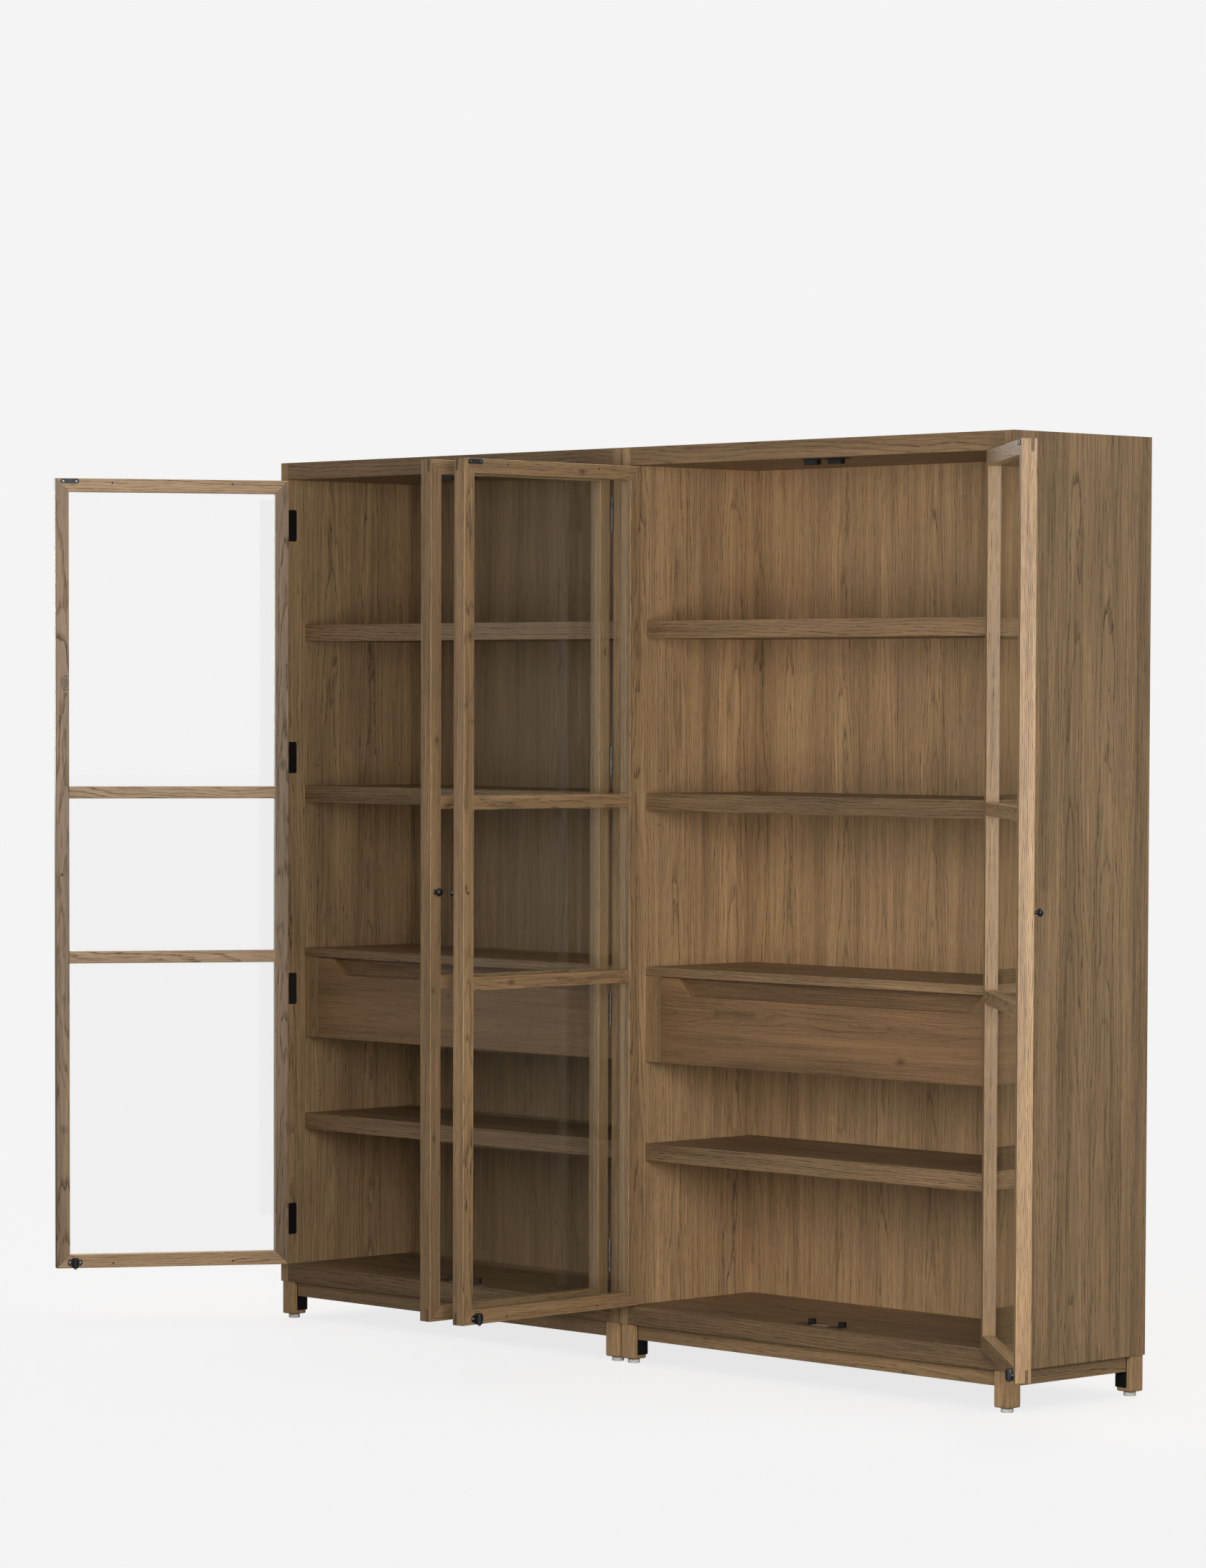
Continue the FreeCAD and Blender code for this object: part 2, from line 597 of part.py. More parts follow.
def door(number):
    """Every piece of one door, opened to its stored angle."""
    door_leaves = [hinge_leaf(low, False) for low in hinge_levels()]
    nodes = {
        "frame": door_frame(),
        "glass": glass_panes(),
        "knob": knob(),
        "fittings": door_leaves + strike_plate() + latch_housing(),
        "latch_plunger": [plunger()],
    }
    opening = DOOR_OPENINGS[number]
    for name, solids in nodes.items():
        keep(f"door_{number}_{name}", [at_hinge(solid, number, opening) for solid in solids])
    fixed_leaves = [at_hinge(hinge_leaf(low, True), number, 0.0) for low in hinge_levels()]
    keep("fixed_hinge_leaves", fixed_leaves)


def top_catch(number):
    """A magnet block under the cabinet's top, facing the shut door's strike plate."""
    length, depth, height = MAGNET_BODY
    plate_length, plate_depth, plate_height = MAGNET_PLATE
    x = DOOR_LEFT + STRIKE_FROM_HINGE_EDGE
    face = DOOR_BACK + STRIKE_THICKNESS + MAGNET_GAP
    plate_low = TOP_UNDERSIDE - plate_height
    half = length / 2
    body = block(x - half, x + half, face, face + depth, plate_low - height, plate_low)
    lowest_edges = [
        edge
        for edge in body.Edges
        if edge.BoundBox.ZLength < 1.0 and edge.BoundBox.ZMin < plate_low - height + 1.0
    ]
    body = body.makeFillet(MAGNET_EDGE_ROUNDING, lowest_edges)
    half = plate_length / 2
    front = face + MAGNET_PLATE_BEHIND_FACE
    plate = block(x - half, x + half, front, front + plate_depth, plate_low, TOP_UNDERSIDE)
    return at_hinge(body.fuse(plate).removeSplitter(), number, 0.0)


def floor_keeper(number):
    """A thin plate under the plunger's path, with a block behind the latch."""
    pin, hand = door_axis(number)
    x_door, y_door = latch_axis()
    x = pin.x + hand * x_door
    length, depth, thickness = KEEPER_BASE
    block_length, block_depth, block_height = KEEPER_BLOCK
    block_front = pin.y + y_door + LATCH_BODY_RADIUS + KEEPER_BEHIND_LATCH
    left = x - length / 2
    right = x + length / 2
    block_back = block_front + block_depth
    base_front = block_back - depth
    base = block(left, right, base_front, block_back, FLOOR_TOP, FLOOR_TOP + thickness)
    top = FLOOR_TOP + thickness + block_height
    stop = block(right - block_length, right, block_front, block_back, FLOOR_TOP, top)
    return base.fuse(stop).removeSplitter()


# ---------------------------------------------------------------- base
def leg(x, y):
    """A square leg bored for its leveller, with its foot eased all round."""
    post = block(x, x + LEG_SIZE, y, y + LEG_SIZE, LEG_BOTTOM, FLOOR_BOTTOM)
    foot = [edge for edge in post.Edges if edge.BoundBox.ZMax < LEG_BOTTOM + 1.0]
    post = post.makeFillet(LEG_ROUNDING, foot)
    centre = Vector(x + LEG_SIZE / 2, y + LEG_SIZE / 2, LEG_BOTTOM)
    return post.cut(round_bar(STEM_RADIUS + STEM_CLEARANCE, LEG_BORE_DEPTH, centre, UP))


def leveller(x, y):
    """A screwed stem with a white glide moulded on its foot."""
    centre = Vector(x + LEG_SIZE / 2, y + LEG_SIZE / 2, 0)
    profile = [
        (0.0, 0.0),
        (0.0, GLIDE_BOTTOM_RADIUS),
        (GLIDE_EDGE_HEIGHT, GLIDE_RADIUS),
        (GLIDE_HEIGHT, GLIDE_RADIUS),
        (GLIDE_HEIGHT, STEM_RADIUS),
        (GLIDE_HEIGHT + STEM_LENGTH, STEM_RADIUS),
        (GLIDE_HEIGHT + STEM_LENGTH, 0.0),
    ]
    return lathe(profile, centre, UP)


def corner_bracket(x, y, inward_x, inward_y):
    """A steel angle round the leg's inner corner, with a screw in each wing."""
    corner_x = x + LEG_SIZE if inward_x > 0 else x
    corner_y = y + LEG_SIZE if inward_y > 0 else y
    wing = LEG_SIZE - APRON_SETBACK
    heights = (BRACKET_BOTTOM, FLOOR_BOTTOM)
    t = BRACKET_THICKNESS

    def span(corner, inward, start, end):
        return sorted((corner + inward * start, corner + inward * end))

    wing_along_y = block(
        *span(corner_x, inward_x, 0, t), *span(corner_y, inward_y, -wing, t), *heights
    )
    wing_along_x = block(
        *span(corner_x, inward_x, -wing, t), *span(corner_y, inward_y, 0, t), *heights
    )
    screw_z = BRACKET_BOTTOM + BRACKET_SCREW_UP
    reach = wing - BRACKET_SCREW_IN
    screw_x = Vector(corner_x + inward_x * t, corner_y - inward_y * reach, screw_z)
    screw_y = Vector(corner_x - inward_x * reach, corner_y + inward_y * t, screw_z)
    return [
        wing_along_y.fuse(wing_along_x).removeSplitter(),
        round_bar(SMALL_SCREW_RADIUS, SMALL_SCREW_HEAD, screw_x, Vector(inward_x, 0, 0)),
        round_bar(SMALL_SCREW_RADIUS, SMALL_SCREW_HEAD, screw_y, Vector(0, inward_y, 0)),
    ]


def rounded_apron(x0, x1, y0, y1, face):
    """An apron board whose upper outer edge is rounded; face is the coordinate of that side."""
    board = block(x0, x1, y0, y1, APRON_BOTTOM, FLOOR_BOTTOM)
    top = FLOOR_BOTTOM - 0.5
    edges = []
    for edge in board.Edges:
        box = edge.BoundBox
        flat = box.ZMin > top
        along_x = box.XLength > 100 and abs(box.YMin - face) < 0.5
        along_y = box.YLength > 100 and abs(box.XMin - face) < 0.5
        if flat and (along_x or along_y):
            edges.append(edge)
    return board.makeFillet(APRON_ROUNDING, edges)


def base_frame(x0):
    """Legs, levellers, angles and aprons under one cabinet; returns the levellers by corner."""
    xs = {"left": x0 + LEG_INSET, "right": x0 + CABINET_WIDTH - LEG_INSET - LEG_SIZE}
    ys = {"front": LEG_INSET, "rear": CABINET_DEPTH - LEG_INSET - LEG_SIZE}
    feet = {}
    for row, y in ys.items():
        for column, x in xs.items():
            inward_x = 1 if column == "left" else -1
            inward_y = 1 if row == "front" else -1
            keep("legs", leg(x, y))
            keep("corner_brackets", corner_bracket(x, y, inward_x, inward_y))
            feet[f"{row}_{column}"] = leveller(x, y)
    leg_and_plate = LEG_SIZE + BRACKET_THICKNESS
    left_end, right_end = xs["left"] + leg_and_plate, xs["right"] - BRACKET_THICKNESS
    front_end, rear_end = ys["front"] + leg_and_plate, ys["rear"] - BRACKET_THICKNESS
    front_face = ys["front"] + APRON_SETBACK
    rear_face = ys["rear"] + LEG_SIZE - APRON_SETBACK
    left_face = xs["left"] + APRON_SETBACK
    right_face = xs["right"] + LEG_SIZE - APRON_SETBACK
    t = APRON_THICKNESS
    keep("aprons", rounded_apron(left_end, right_end, front_face, front_face + t, front_face))
    keep("aprons", rounded_apron(left_end, right_end, rear_face - t, rear_face, rear_face))
    keep("aprons", rounded_apron(left_face, left_face + t, front_end, rear_end, left_face))
    keep("aprons", rounded_apron(right_face - t, right_face, front_end, rear_end, right_face))
    return feet


# ---------------------------------------------------------------- assembly
def build():
    """Make every node, then write each one as a STEP file in the shared frame."""
    for side, x0 in CABINETS.items():
        carcass(side, x0)
        drawer_unit(side, x0)
        for corner, foot in base_frame(x0).items():
            keep(f"{side}_{corner}_leveller", foot)
    for number in DOOR_OPENINGS:
        door(number)
        keep("top_catches", top_catch(number))
        keep("floor_keepers", floor_keeper(number))
    outline = Part.makeCompound(
        [s for name, solids in pieces.items() if "glass" not in name for s in solids]
    ).optimalBoundingBox()
    shift = Vector(-outline.Center.x, -outline.Center.y, 0)
    os.makedirs("parts", exist_ok=True)
    for name, solids in pieces.items():
        group = solids[0] if len(solids) == 1 else Part.makeCompound(solids)
        group.translate(shift)
        group.exportStep(f"parts/{name}.step")
    print(f"{len(pieces)} nodes, moved by {shift.x:.4f}, {shift.y:.4f}")


build()
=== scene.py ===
"""Looks of a pair of glazed oak bookcases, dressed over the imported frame.

Lengths in dataclass fields are millimetres, and every mesh is in metres in the frame's own axes: +X runs
from the left cabinet to the right one, +Y from the doors to the back, +Z up from the floor.
"""

import json
import logging
import math
from dataclasses import dataclass, replace
from enum import Enum

import bpy
import numpy as np
from mathutils import Matrix, Vector

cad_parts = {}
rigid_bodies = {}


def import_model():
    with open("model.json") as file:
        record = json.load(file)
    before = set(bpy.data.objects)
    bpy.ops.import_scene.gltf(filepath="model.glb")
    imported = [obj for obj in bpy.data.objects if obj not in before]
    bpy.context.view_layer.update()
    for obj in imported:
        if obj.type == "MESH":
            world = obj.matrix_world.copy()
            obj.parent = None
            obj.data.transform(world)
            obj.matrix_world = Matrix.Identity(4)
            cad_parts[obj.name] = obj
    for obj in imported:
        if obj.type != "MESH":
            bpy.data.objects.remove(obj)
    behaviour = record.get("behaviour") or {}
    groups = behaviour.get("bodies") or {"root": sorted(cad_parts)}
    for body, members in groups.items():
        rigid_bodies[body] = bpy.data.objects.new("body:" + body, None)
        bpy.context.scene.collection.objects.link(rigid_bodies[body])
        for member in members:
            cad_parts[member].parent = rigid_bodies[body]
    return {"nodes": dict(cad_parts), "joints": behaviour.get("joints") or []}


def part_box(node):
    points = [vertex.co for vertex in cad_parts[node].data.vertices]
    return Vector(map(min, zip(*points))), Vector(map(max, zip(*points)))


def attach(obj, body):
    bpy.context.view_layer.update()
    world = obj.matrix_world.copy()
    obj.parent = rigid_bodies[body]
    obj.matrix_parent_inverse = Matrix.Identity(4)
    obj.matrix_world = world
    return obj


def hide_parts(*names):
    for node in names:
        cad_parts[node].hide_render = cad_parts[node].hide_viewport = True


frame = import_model()
log = logging.getLogger("bookcase")

MM = 0.001
X, Y, Z = np.eye(3)
BODY = "carcass"
Tree = bpy.types.NodeTree
Socket = bpy.types.NodeSocket


# ---- shapes
@dataclass(frozen=True)
class Placement:
    """Where a piece's own axes lie in the frame.

    Args:
        origin: the piece's own zero, in frame millimetres.
        axes: 3 x 3, its rows are the piece's own first, second and third directions.
    """

    origin: np.ndarray
    axes: np.ndarray

    def place(self, points: np.ndarray) -> np.ndarray:
        """Own coordinates to frame coordinates, both in millimetres."""
        return self.origin + points @ self.axes

    def inside(self, origin: tuple, first: np.ndarray, second: np.ndarray, third: np.ndarray) -> "Placement":
        """A placement given by its origin and directions in this one's own axes.

        Args:
            origin: its zero in this placement's axes.
            first, second, third: its unit directions in this placement's axes.

        Returns:
            The same placement in frame axes.
        """
        turned = np.array([first, second, third]) @ self.axes
        return Placement(self.place(np.array(origin, float)), turned)


FRAME = Placement(np.zeros(3), np.eye(3))


@dataclass
class Patch:
    """A closed surface.

    Args:
        points: in frame millimetres.
        faces: lists of point numbers.
        grain: the points' oak coordinates, in metres.
        tone: how much lighter (+) or darker (-) than the run of the timber each point is: its random tone, with
            painted light, painted shade and a painted edge highlight added on some boards.
    """

    points: np.ndarray
    faces: list
    grain: np.ndarray
    tone: np.ndarray


def tube(rings: np.ndarray, place: Placement, grain: np.ndarray = None, tone: object = 0.0) -> Patch:
    """Skin a grid of points whose first index runs along a path and whose second runs round a section.

    Neighbouring rings are joined by quads, the last point of a ring joins its first, and a flat face closes
    each end. The signed volume, a sixth of the sum of a . (b x c) over the triangles, says whether the faces
    point inwards, and they are turned over if it is negative.

    Args:
        rings: (m, n, 3) points in the piece's own millimetres.
        place: where the piece lies.
        grain: (m, n, 3) oak coordinates in metres, or None for a piece that isn't oak.
        tone: how much lighter (+) or darker (-) than the run of the timber, one number or one for each point
            of a ring.

    Returns:
        The closed patch.
    """
    count, around = rings.shape[:2]
    index = np.arange(count * around).reshape(count, around)
    following = np.roll(index, -1, axis=1)
    quads = np.stack((index[:-1], following[:-1], following[1:], index[1:]), -1).reshape(-1, 4)
    points = place.place(rings.reshape(-1, 3))
    corners = points - points.mean(0)
    a, b, c, d = (corners[quads[:, k]] for k in range(4))
    volume = np.einsum("ij,ij->", a, np.cross(b, c)) + np.einsum("ij,ij->", a, np.cross(c, d))
    for ring, sign in ((index[0], -1), (index[-1], 1)):
        fan = corners[ring]
        volume += sign * np.einsum("j,ij->", fan[0], np.cross(fan[1:-1], fan[2:]))
    faces = [*quads.tolist(), index[0][::-1].tolist(), index[-1].tolist()]
    if volume < 0:
        faces = [face[::-1] for face in faces]
    oak = np.zeros((count * around, 3)) if grain is None else grain.reshape(-1, 3)
    return Patch(points, faces, oak, np.broadcast_to(tone, (count, around)).ravel())


def rounded_section(width: float, depth: float, radii: np.ndarray, inset: float, steps: int) -> np.ndarray:
    """Outline of a rectangle whose corners are quarter circles, moved inwards by an inset.

    Corner k has its centre max(radius, inset) from both sides, and points at centre + (radius - inset) *
    (cos t, sin t) over a quarter turn. A quarter circle is never so small that its points meet.

    Args:
        width, depth: sides of the rectangle.
        radii: the four corner radii, from (0, 0) round by way of (width, 0).
        inset: how far the outline is moved in.
        steps: points on each quarter circle.

    Returns:
        (4 * steps, 2) points.
    """
    smallest = 0.05
    side = np.array([[0, 0], [1, 0], [1, 1], [0, 1]])
    held = np.maximum(radii, inset)[:, None]
    centre = side * [width, depth] + np.where(side, -held, held)
    reach = np.maximum(radii - inset, smallest)[:, None]
    turn = np.radians(np.array([180, 270, 0, 90])[:, None] + np.linspace(0, 90, steps))
    arc = np.stack((np.cos(turn), np.sin(turn)), -1) * reach[..., None]
    return (centre[:, None] + arc).reshape(-1, 2)


def highlight_profile(steps: int) -> np.ndarray:
    """Painted highlight over a rounded section's points: a half sine wave over each corner, 1 in its middle."""
    return np.tile(np.sin(np.linspace(0, np.pi, steps)), 4)


def eased_end(radius: float, steps: int) -> tuple[np.ndarray, np.ndarray]:
    """Rings that round an end: at r(1 - cos t) from it the section is moved in by r(1 - sin t).

    Args:
        radius: of the rounding.
        steps: how many rings, with t from 20 to 90 degrees.

    Returns:
        The rings' distances from the end, and their insets.
    """
    turn = np.radians(np.linspace(20, 90, steps))
    return radius * (1 - np.cos(turn)), radius * (1 - np.sin(turn))


@dataclass
class Timber:
    """Hands out a leaf of oak to each board, so that no two boards repeat a figure.

    Args:
        leaf: width of a leaf of figure, as wide as the widest solid board.
        seed: start of the tones.
        used: leaves handed out so far.
    """

    leaf: float = 150.0
    seed: int = 7
    used: int = 0

    def __post_init__(self) -> None:
        """Start the run of tones."""
        self.random = np.random.RandomState(self.seed)

    def take(self, width: float) -> tuple[float, float]:
        """Hand out the next leaves.

        Args:
            width: of the board, in millimetres.

        Returns:
            The across coordinate that the board's middle gets, in millimetres, and its tone.
        """
        leaves = int(width // self.leaf) + 2
        self.used += leaves
        middle = (self.used - leaves // 2 + 0.5) * self.leaf
        return middle, self.random.uniform(-1, 1)


TIMBER = Timber()


@dataclass(frozen=True)
class Board:
    """A straight piece of oak with eased arrises.

    Args:
        length, width, thickness: size along the grain, across it and through it.
        arris: radius of the long edges, or four of them from (0, 0) round by way of (width, 0).
        start_round, end_round: radius of the edges at each end.
        mitre: True cuts both ends at 45 degrees, the side at width 0 staying full length.
        tone: added to the tone that the timber gives.
        spread: how far the timber's own tone counts.
        edge_highlight: how much lighter the long edges are, a painted highlight where the arrises catch the
            lamps.
        steps: points on each rounded corner.
    """

    length: float
    width: float
    thickness: float
    arris: float | tuple = 0.8
    start_round: float = 0.8
    end_round: float = 0.8
    mitre: bool = False
    tone: float = 0.0
    spread: float = 0.6
    edge_highlight: float = 2.5
    steps: int = 3

    def patch(self, place: Placement) -> Patch:
        """Carry the rounded section along the grain, ease both ends, and cut the mitres.

        A mitre moves each point along by its distance across the board.

        Args:
            place: own axes are along, across and through the board.

        Returns:
            The board's surface.
        """
        radii = np.broadcast_to(np.asarray(self.arris, float), (4,))
        head, head_inset = eased_end(self.start_round, self.steps)
        tail, tail_inset = eased_end(self.end_round, self.steps)
        along = np.concatenate((head - head[0], self.length + tail[0] - tail[::-1]))
        inset = np.concatenate((head_inset, tail_inset[::-1]))
        outline = (self.width, self.thickness, radii)
        sections = np.array([rounded_section(*outline, value, self.steps) for value in inset])
        across, through = sections[..., 0], sections[..., 1]
        toward = np.where(np.arange(len(along)) < self.steps, 1, -1)[:, None]
        rings = np.stack((along[:, None] + across * self.mitre * toward, across, through), -1)
        middle, tone = TIMBER.take(self.width)
        grain = (rings + [0, middle - self.width / 2, 0]) * MM
        # The long edges are lightened as a painted highlight, where the arrises catch the lamps.
        return tube(rings, place, grain, self.spread * tone + self.tone + self.edge_highlight * highlight_profile(self.steps))


def lathe(along: np.ndarray, radius: np.ndarray, place: Placement, around: int = 24) -> Patch:
    """Turn a profile: at distance s along the first axis the surface is a circle of radius r(s).

    Args:
        along: distances along the axis.
        radius: the radius at each of them.
        place: own first axis is the axis of turning.
        around: points round each circle.

    Returns:
        The turned surface.
    """
    turn = np.linspace(0, 2 * np.pi, around, endpoint=False)
    flat = np.broadcast_to(along[:, None], (len(along), around))
    rings = np.stack((flat, radius[:, None] * np.cos(turn), radius[:, None] * np.sin(turn)), -1)
    return tube(rings, place)


def plate(size: tuple, place: Placement, corner: float, edge: float = 0.2) -> Patch:
    """A plate with rounded corners and an eased rim, centred on its own zero and standing on it.

    The outline is a rectangle with quarter circles at its corners, and it shrinks by the edge at the top.

    Args:
        size: length, width and thickness, along the plate's own first, second and third axes.
        place: where it lies.
        corner: radius of the four corners.
        edge: how much the rim is eased.

    Returns:
        The plate.
    """
    length, width, thickness = size
    corner_steps = 8
    radii = np.full(4, corner)
    levels = np.array([0, thickness - edge, thickness])
    insets = np.array([0, 0, edge])
    outline = [rounded_section(length, width, radii, inset, corner_steps) for inset in insets]
    flat = np.array(outline) - [length / 2, width / 2]
    height = np.broadcast_to(levels[:, None, None], (*flat.shape[:2], 1))
    return tube(np.concatenate((flat, height), -1), place)


def screw_head(radius: float, height: float, place: Placement) -> Patch:
    """A pan head with a cross recess, its own first axis pointing out of the surface.

    The dome's height falls as the square of the radius, and it sinks where either sine or cosine of twice the
    angle leaves the arms of the cross.

    Args:
        radius, height: size of the head.
        place: middle of the head's seat.

    Returns:
        The head's surface.
    """
    around = 16
    share = np.array([1.0, 1.0, 0.82, 0.5, 0.22])
    level = height * np.array([0.0, 0.45, 0.8, 0.98, 1.0])
    turn = np.linspace(0, 2 * np.pi, around, endpoint=False)
    arm = (np.abs(np.cos(2 * turn)) > 0.9).astype(float)
    sunk = np.array([0, 0, 0, 0.6, 0.75])[:, None] * height * arm
    flat = radius * share[:, None]
    rings = np.stack((level[:, None] - sunk, flat * np.cos(turn), flat * np.sin(turn)), -1)
    return tube(rings, place)


def node_box(node: str) -> tuple[np.ndarray, np.ndarray]:
    """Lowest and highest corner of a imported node, in millimetres."""
    low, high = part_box(node)
    return np.array(low) / MM, np.array(high) / MM


def into_scene(name: str, data: bpy.types.ID) -> bpy.types.Object:
    """Link a new object into the scene.

    Args:
        name: its name.
        data: the mesh, lamp or lens that it holds.

    Returns:
        The object.
    """
    thing = bpy.data.objects.new(name, data)
    bpy.context.scene.collection.objects.link(thing)
    return thing


def make_piece(
    name: str, patches: list, finish: "Finish", body: str, stands_for: tuple = (), smooth: float = 0
) -> None:
    """Join patches into one mesh, dress it and let it ride on a body.

    Args:
        name: the piece's name.
        patches: its surfaces.
        finish: what it is made of.
        body: the body that it moves with.
        stands_for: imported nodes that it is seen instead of.
        smooth: edges flatter than this many degrees are shaded smooth, 0 for none.
    """
    starts = np.cumsum([0] + [len(patch.points) for patch in patches])
    points = np.concatenate([patch.points for patch in patches]) * MM
    faces = [[v + start for v in face] for patch, start in zip(patches, starts) for face in patch.faces]
    mesh = bpy.data.meshes.new(name)
    mesh.from_pydata(points.tolist(), [], faces)
    grain = mesh.attributes.new("grain", "FLOAT_VECTOR", "POINT")
    grain.data.foreach_set("vector", np.concatenate([patch.grain for patch in patches]).ravel())
    tone = mesh.attributes.new("tone", "FLOAT", "POINT")
    tone.data.foreach_set("value", np.concatenate([patch.tone for patch in patches]))
    if smooth:
        mesh.shade_smooth()
        mesh.set_sharp_from_angle(angle=math.radians(smooth))
    mesh.materials.append(finish.material())
    piece = into_scene(name, mesh)
    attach(piece, body)
    if stands_for:
        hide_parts(*stands_for)
    log.info("%s: %d faces on %s", name, len(faces), body)


def dress(node: str, finish: "Finish") -> None:
    """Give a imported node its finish, and leave its shape alone.

    Args:
        node: the node.
        finish: what it is made of.
    """
    mesh = frame["nodes"][node].data
    mesh.materials.clear()
    mesh.materials.append(finish.material())
    log.info("%s dressed", node)


# ---- finishes
def linear(code: str) -> tuple:
    """Turn an sRGB colour linear, by the standard curve.

    Args:
        code: the colour as a hash sign and six hex digits.

    Returns:
        Linear red, green and blue, and an alpha of 1.
    """
    values = np.array([int(code[k : k + 2], 16) for k in (1, 3, 5)]) / 255
    low = values / 12.92
    high = ((values + 0.055) / 1.055) ** 2.4
    return (*np.where(values <= 0.04045, low, high), 1.0)


def add(tree: Tree, kind: str, settings: dict = None, inputs: dict = None) -> bpy.types.Node:
    """Add a shader node.

    Args:
        tree: the node tree.
        kind: the node's type name without "ShaderNode".
        settings: attributes of the node.
        inputs: sockets by name or number; a value is set, and another node's socket is linked.

    Returns:
        The new node.
    """
    node = tree.nodes.new("ShaderNode" + kind)
    for name, value in (settings or {}).items():
        setattr(node, name, value)
    for name, value in (inputs or {}).items():
        if isinstance(value, Socket):
            tree.links.new(value, node.inputs[name])
        else:
            node.inputs[name].default_value = value
    return node


def maths(tree: Tree, operation: str, *values: object, clamp: bool = False) -> Socket:
    """The result of one Math step on numbers and sockets."""
    settings = {"operation": operation, "use_clamp": clamp}
    return add(tree, "Math", settings, dict(enumerate(values))).outputs[0]


def hypotenuse(tree: Tree, first: object, second: object) -> Socket:
    """The square root of the sum of two squares."""
    squares = [maths(tree, "POWER", value, 2.0) for value in (first, second)]
    return maths(tree, "SQRT", maths(tree, "ADD", *squares))


def noise(tree: Tree, place: tuple, cycles: tuple, detail: float) -> Socket:
    """Smooth noise between 0 and 1.

    Args:
        tree: the node tree.
        place: three coordinates.
        cycles: cycles a metre along each of them.
        detail: octaves.

    Returns:
        The noise.
    """
    scaled = [maths(tree, "MULTIPLY", value, number) for value, number in zip(place, cycles)]
    point = add(tree, "CombineXYZ", {}, dict(enumerate(scaled))).outputs[0]
    inputs = {"Vector": point, "Scale": 1.0, "Detail": detail, "Roughness": 0.55}
    return add(tree, "TexNoise", {"noise_dimensions": "3D"}, inputs).outputs["Fac"]


def texture(tree: Tree, scale: float, detail: float) -> Socket:
    """Smooth noise between 0 and 1 in the object's own coordinates, with so many cycles a metre."""
    inputs = {"Vector": add(tree, "TexCoord").outputs["Object"], "Scale": scale, "Detail": detail}
    return add(tree, "TexNoise", {}, inputs).outputs["Fac"]


def white_noise(tree: Tree, number: Socket) -> bpy.types.Node:
    """A random value and colour that belong to a whole number."""
    return add(tree, "TexWhiteNoise", {"noise_dimensions": "1D"}, {"W": number})


def chances(tree: Tree, number: Socket) -> bpy.types.bpy_prop_collection:
    """Three random sockets between 0 and 1 that belong to a whole number."""
    return add(tree, "SeparateXYZ", {}, {0: white_noise(tree, number).outputs["Color"]}).outputs


def between(tree: Tree, value: Socket, low: float, high: float) -> Socket:
    """How far a value has come from low to high, held between 0 and 1."""
    return add(tree, "MapRange", {}, {"Value": value, "From Min": low, "From Max": high}).outputs[0]


def mix(tree: Tree, share: object, first: object, second: object) -> Socket:
    """A colour between two others."""
    inputs = {"Factor": share, "A": first, "B": second}
    return add(tree, "Mix", {"data_type": "RGBA"}, inputs).outputs["Result"]


def around_one(tree: Tree, parts: tuple) -> Socket:
    """1 plus each part's distance from a half times its weight.

    Args:
        tree: the node tree.
        parts: pairs of a value between 0 and 1 and its weight.

    Returns:
        The sum.
    """
    value = 1.0
    for part, weight in parts:
        value = maths(tree, "ADD", maths(tree, "MULTIPLY_ADD", part, weight, -weight / 2), value)
    return value


def seen_directly(tree: Tree) -> Socket:
    """1 for a ray from the lens, also through glass, and 0 for light that the object gets."""
    path = add(tree, "LightPath")
    return maths(tree, "MAXIMUM", path.outputs["Is Camera Ray"], path.outputs["Is Transmission Ray"])


class Finish:
    """A finish makes its material once and then hands out the same one."""

    name: str
    slot: str
    made: dict = {}

    def material(self) -> bpy.types.Material:
        """Make the material on first use.

        Returns:
            The finish's material.
        """
        if self not in Finish.made:
            material = bpy.data.materials.new(self.name)
            material.use_nodes = True
            material.node_tree.nodes.clear()
            surface = self.surface(material.node_tree)
            add(material.node_tree, "OutputMaterial", {}, {"Surface": surface})
            Finish.made[self] = material
        return Finish.made[self]

    def surface(self, tree: Tree) -> Socket:
        """The shader socket of this finish."""
        raise NotImplementedError


class Coordinates(Enum):
    """Where an oak finish finds the direction of its grain."""

    BOARD = "the grain attribute of a board"
    UPRIGHT = "object coordinates, grain along Z and across Y"


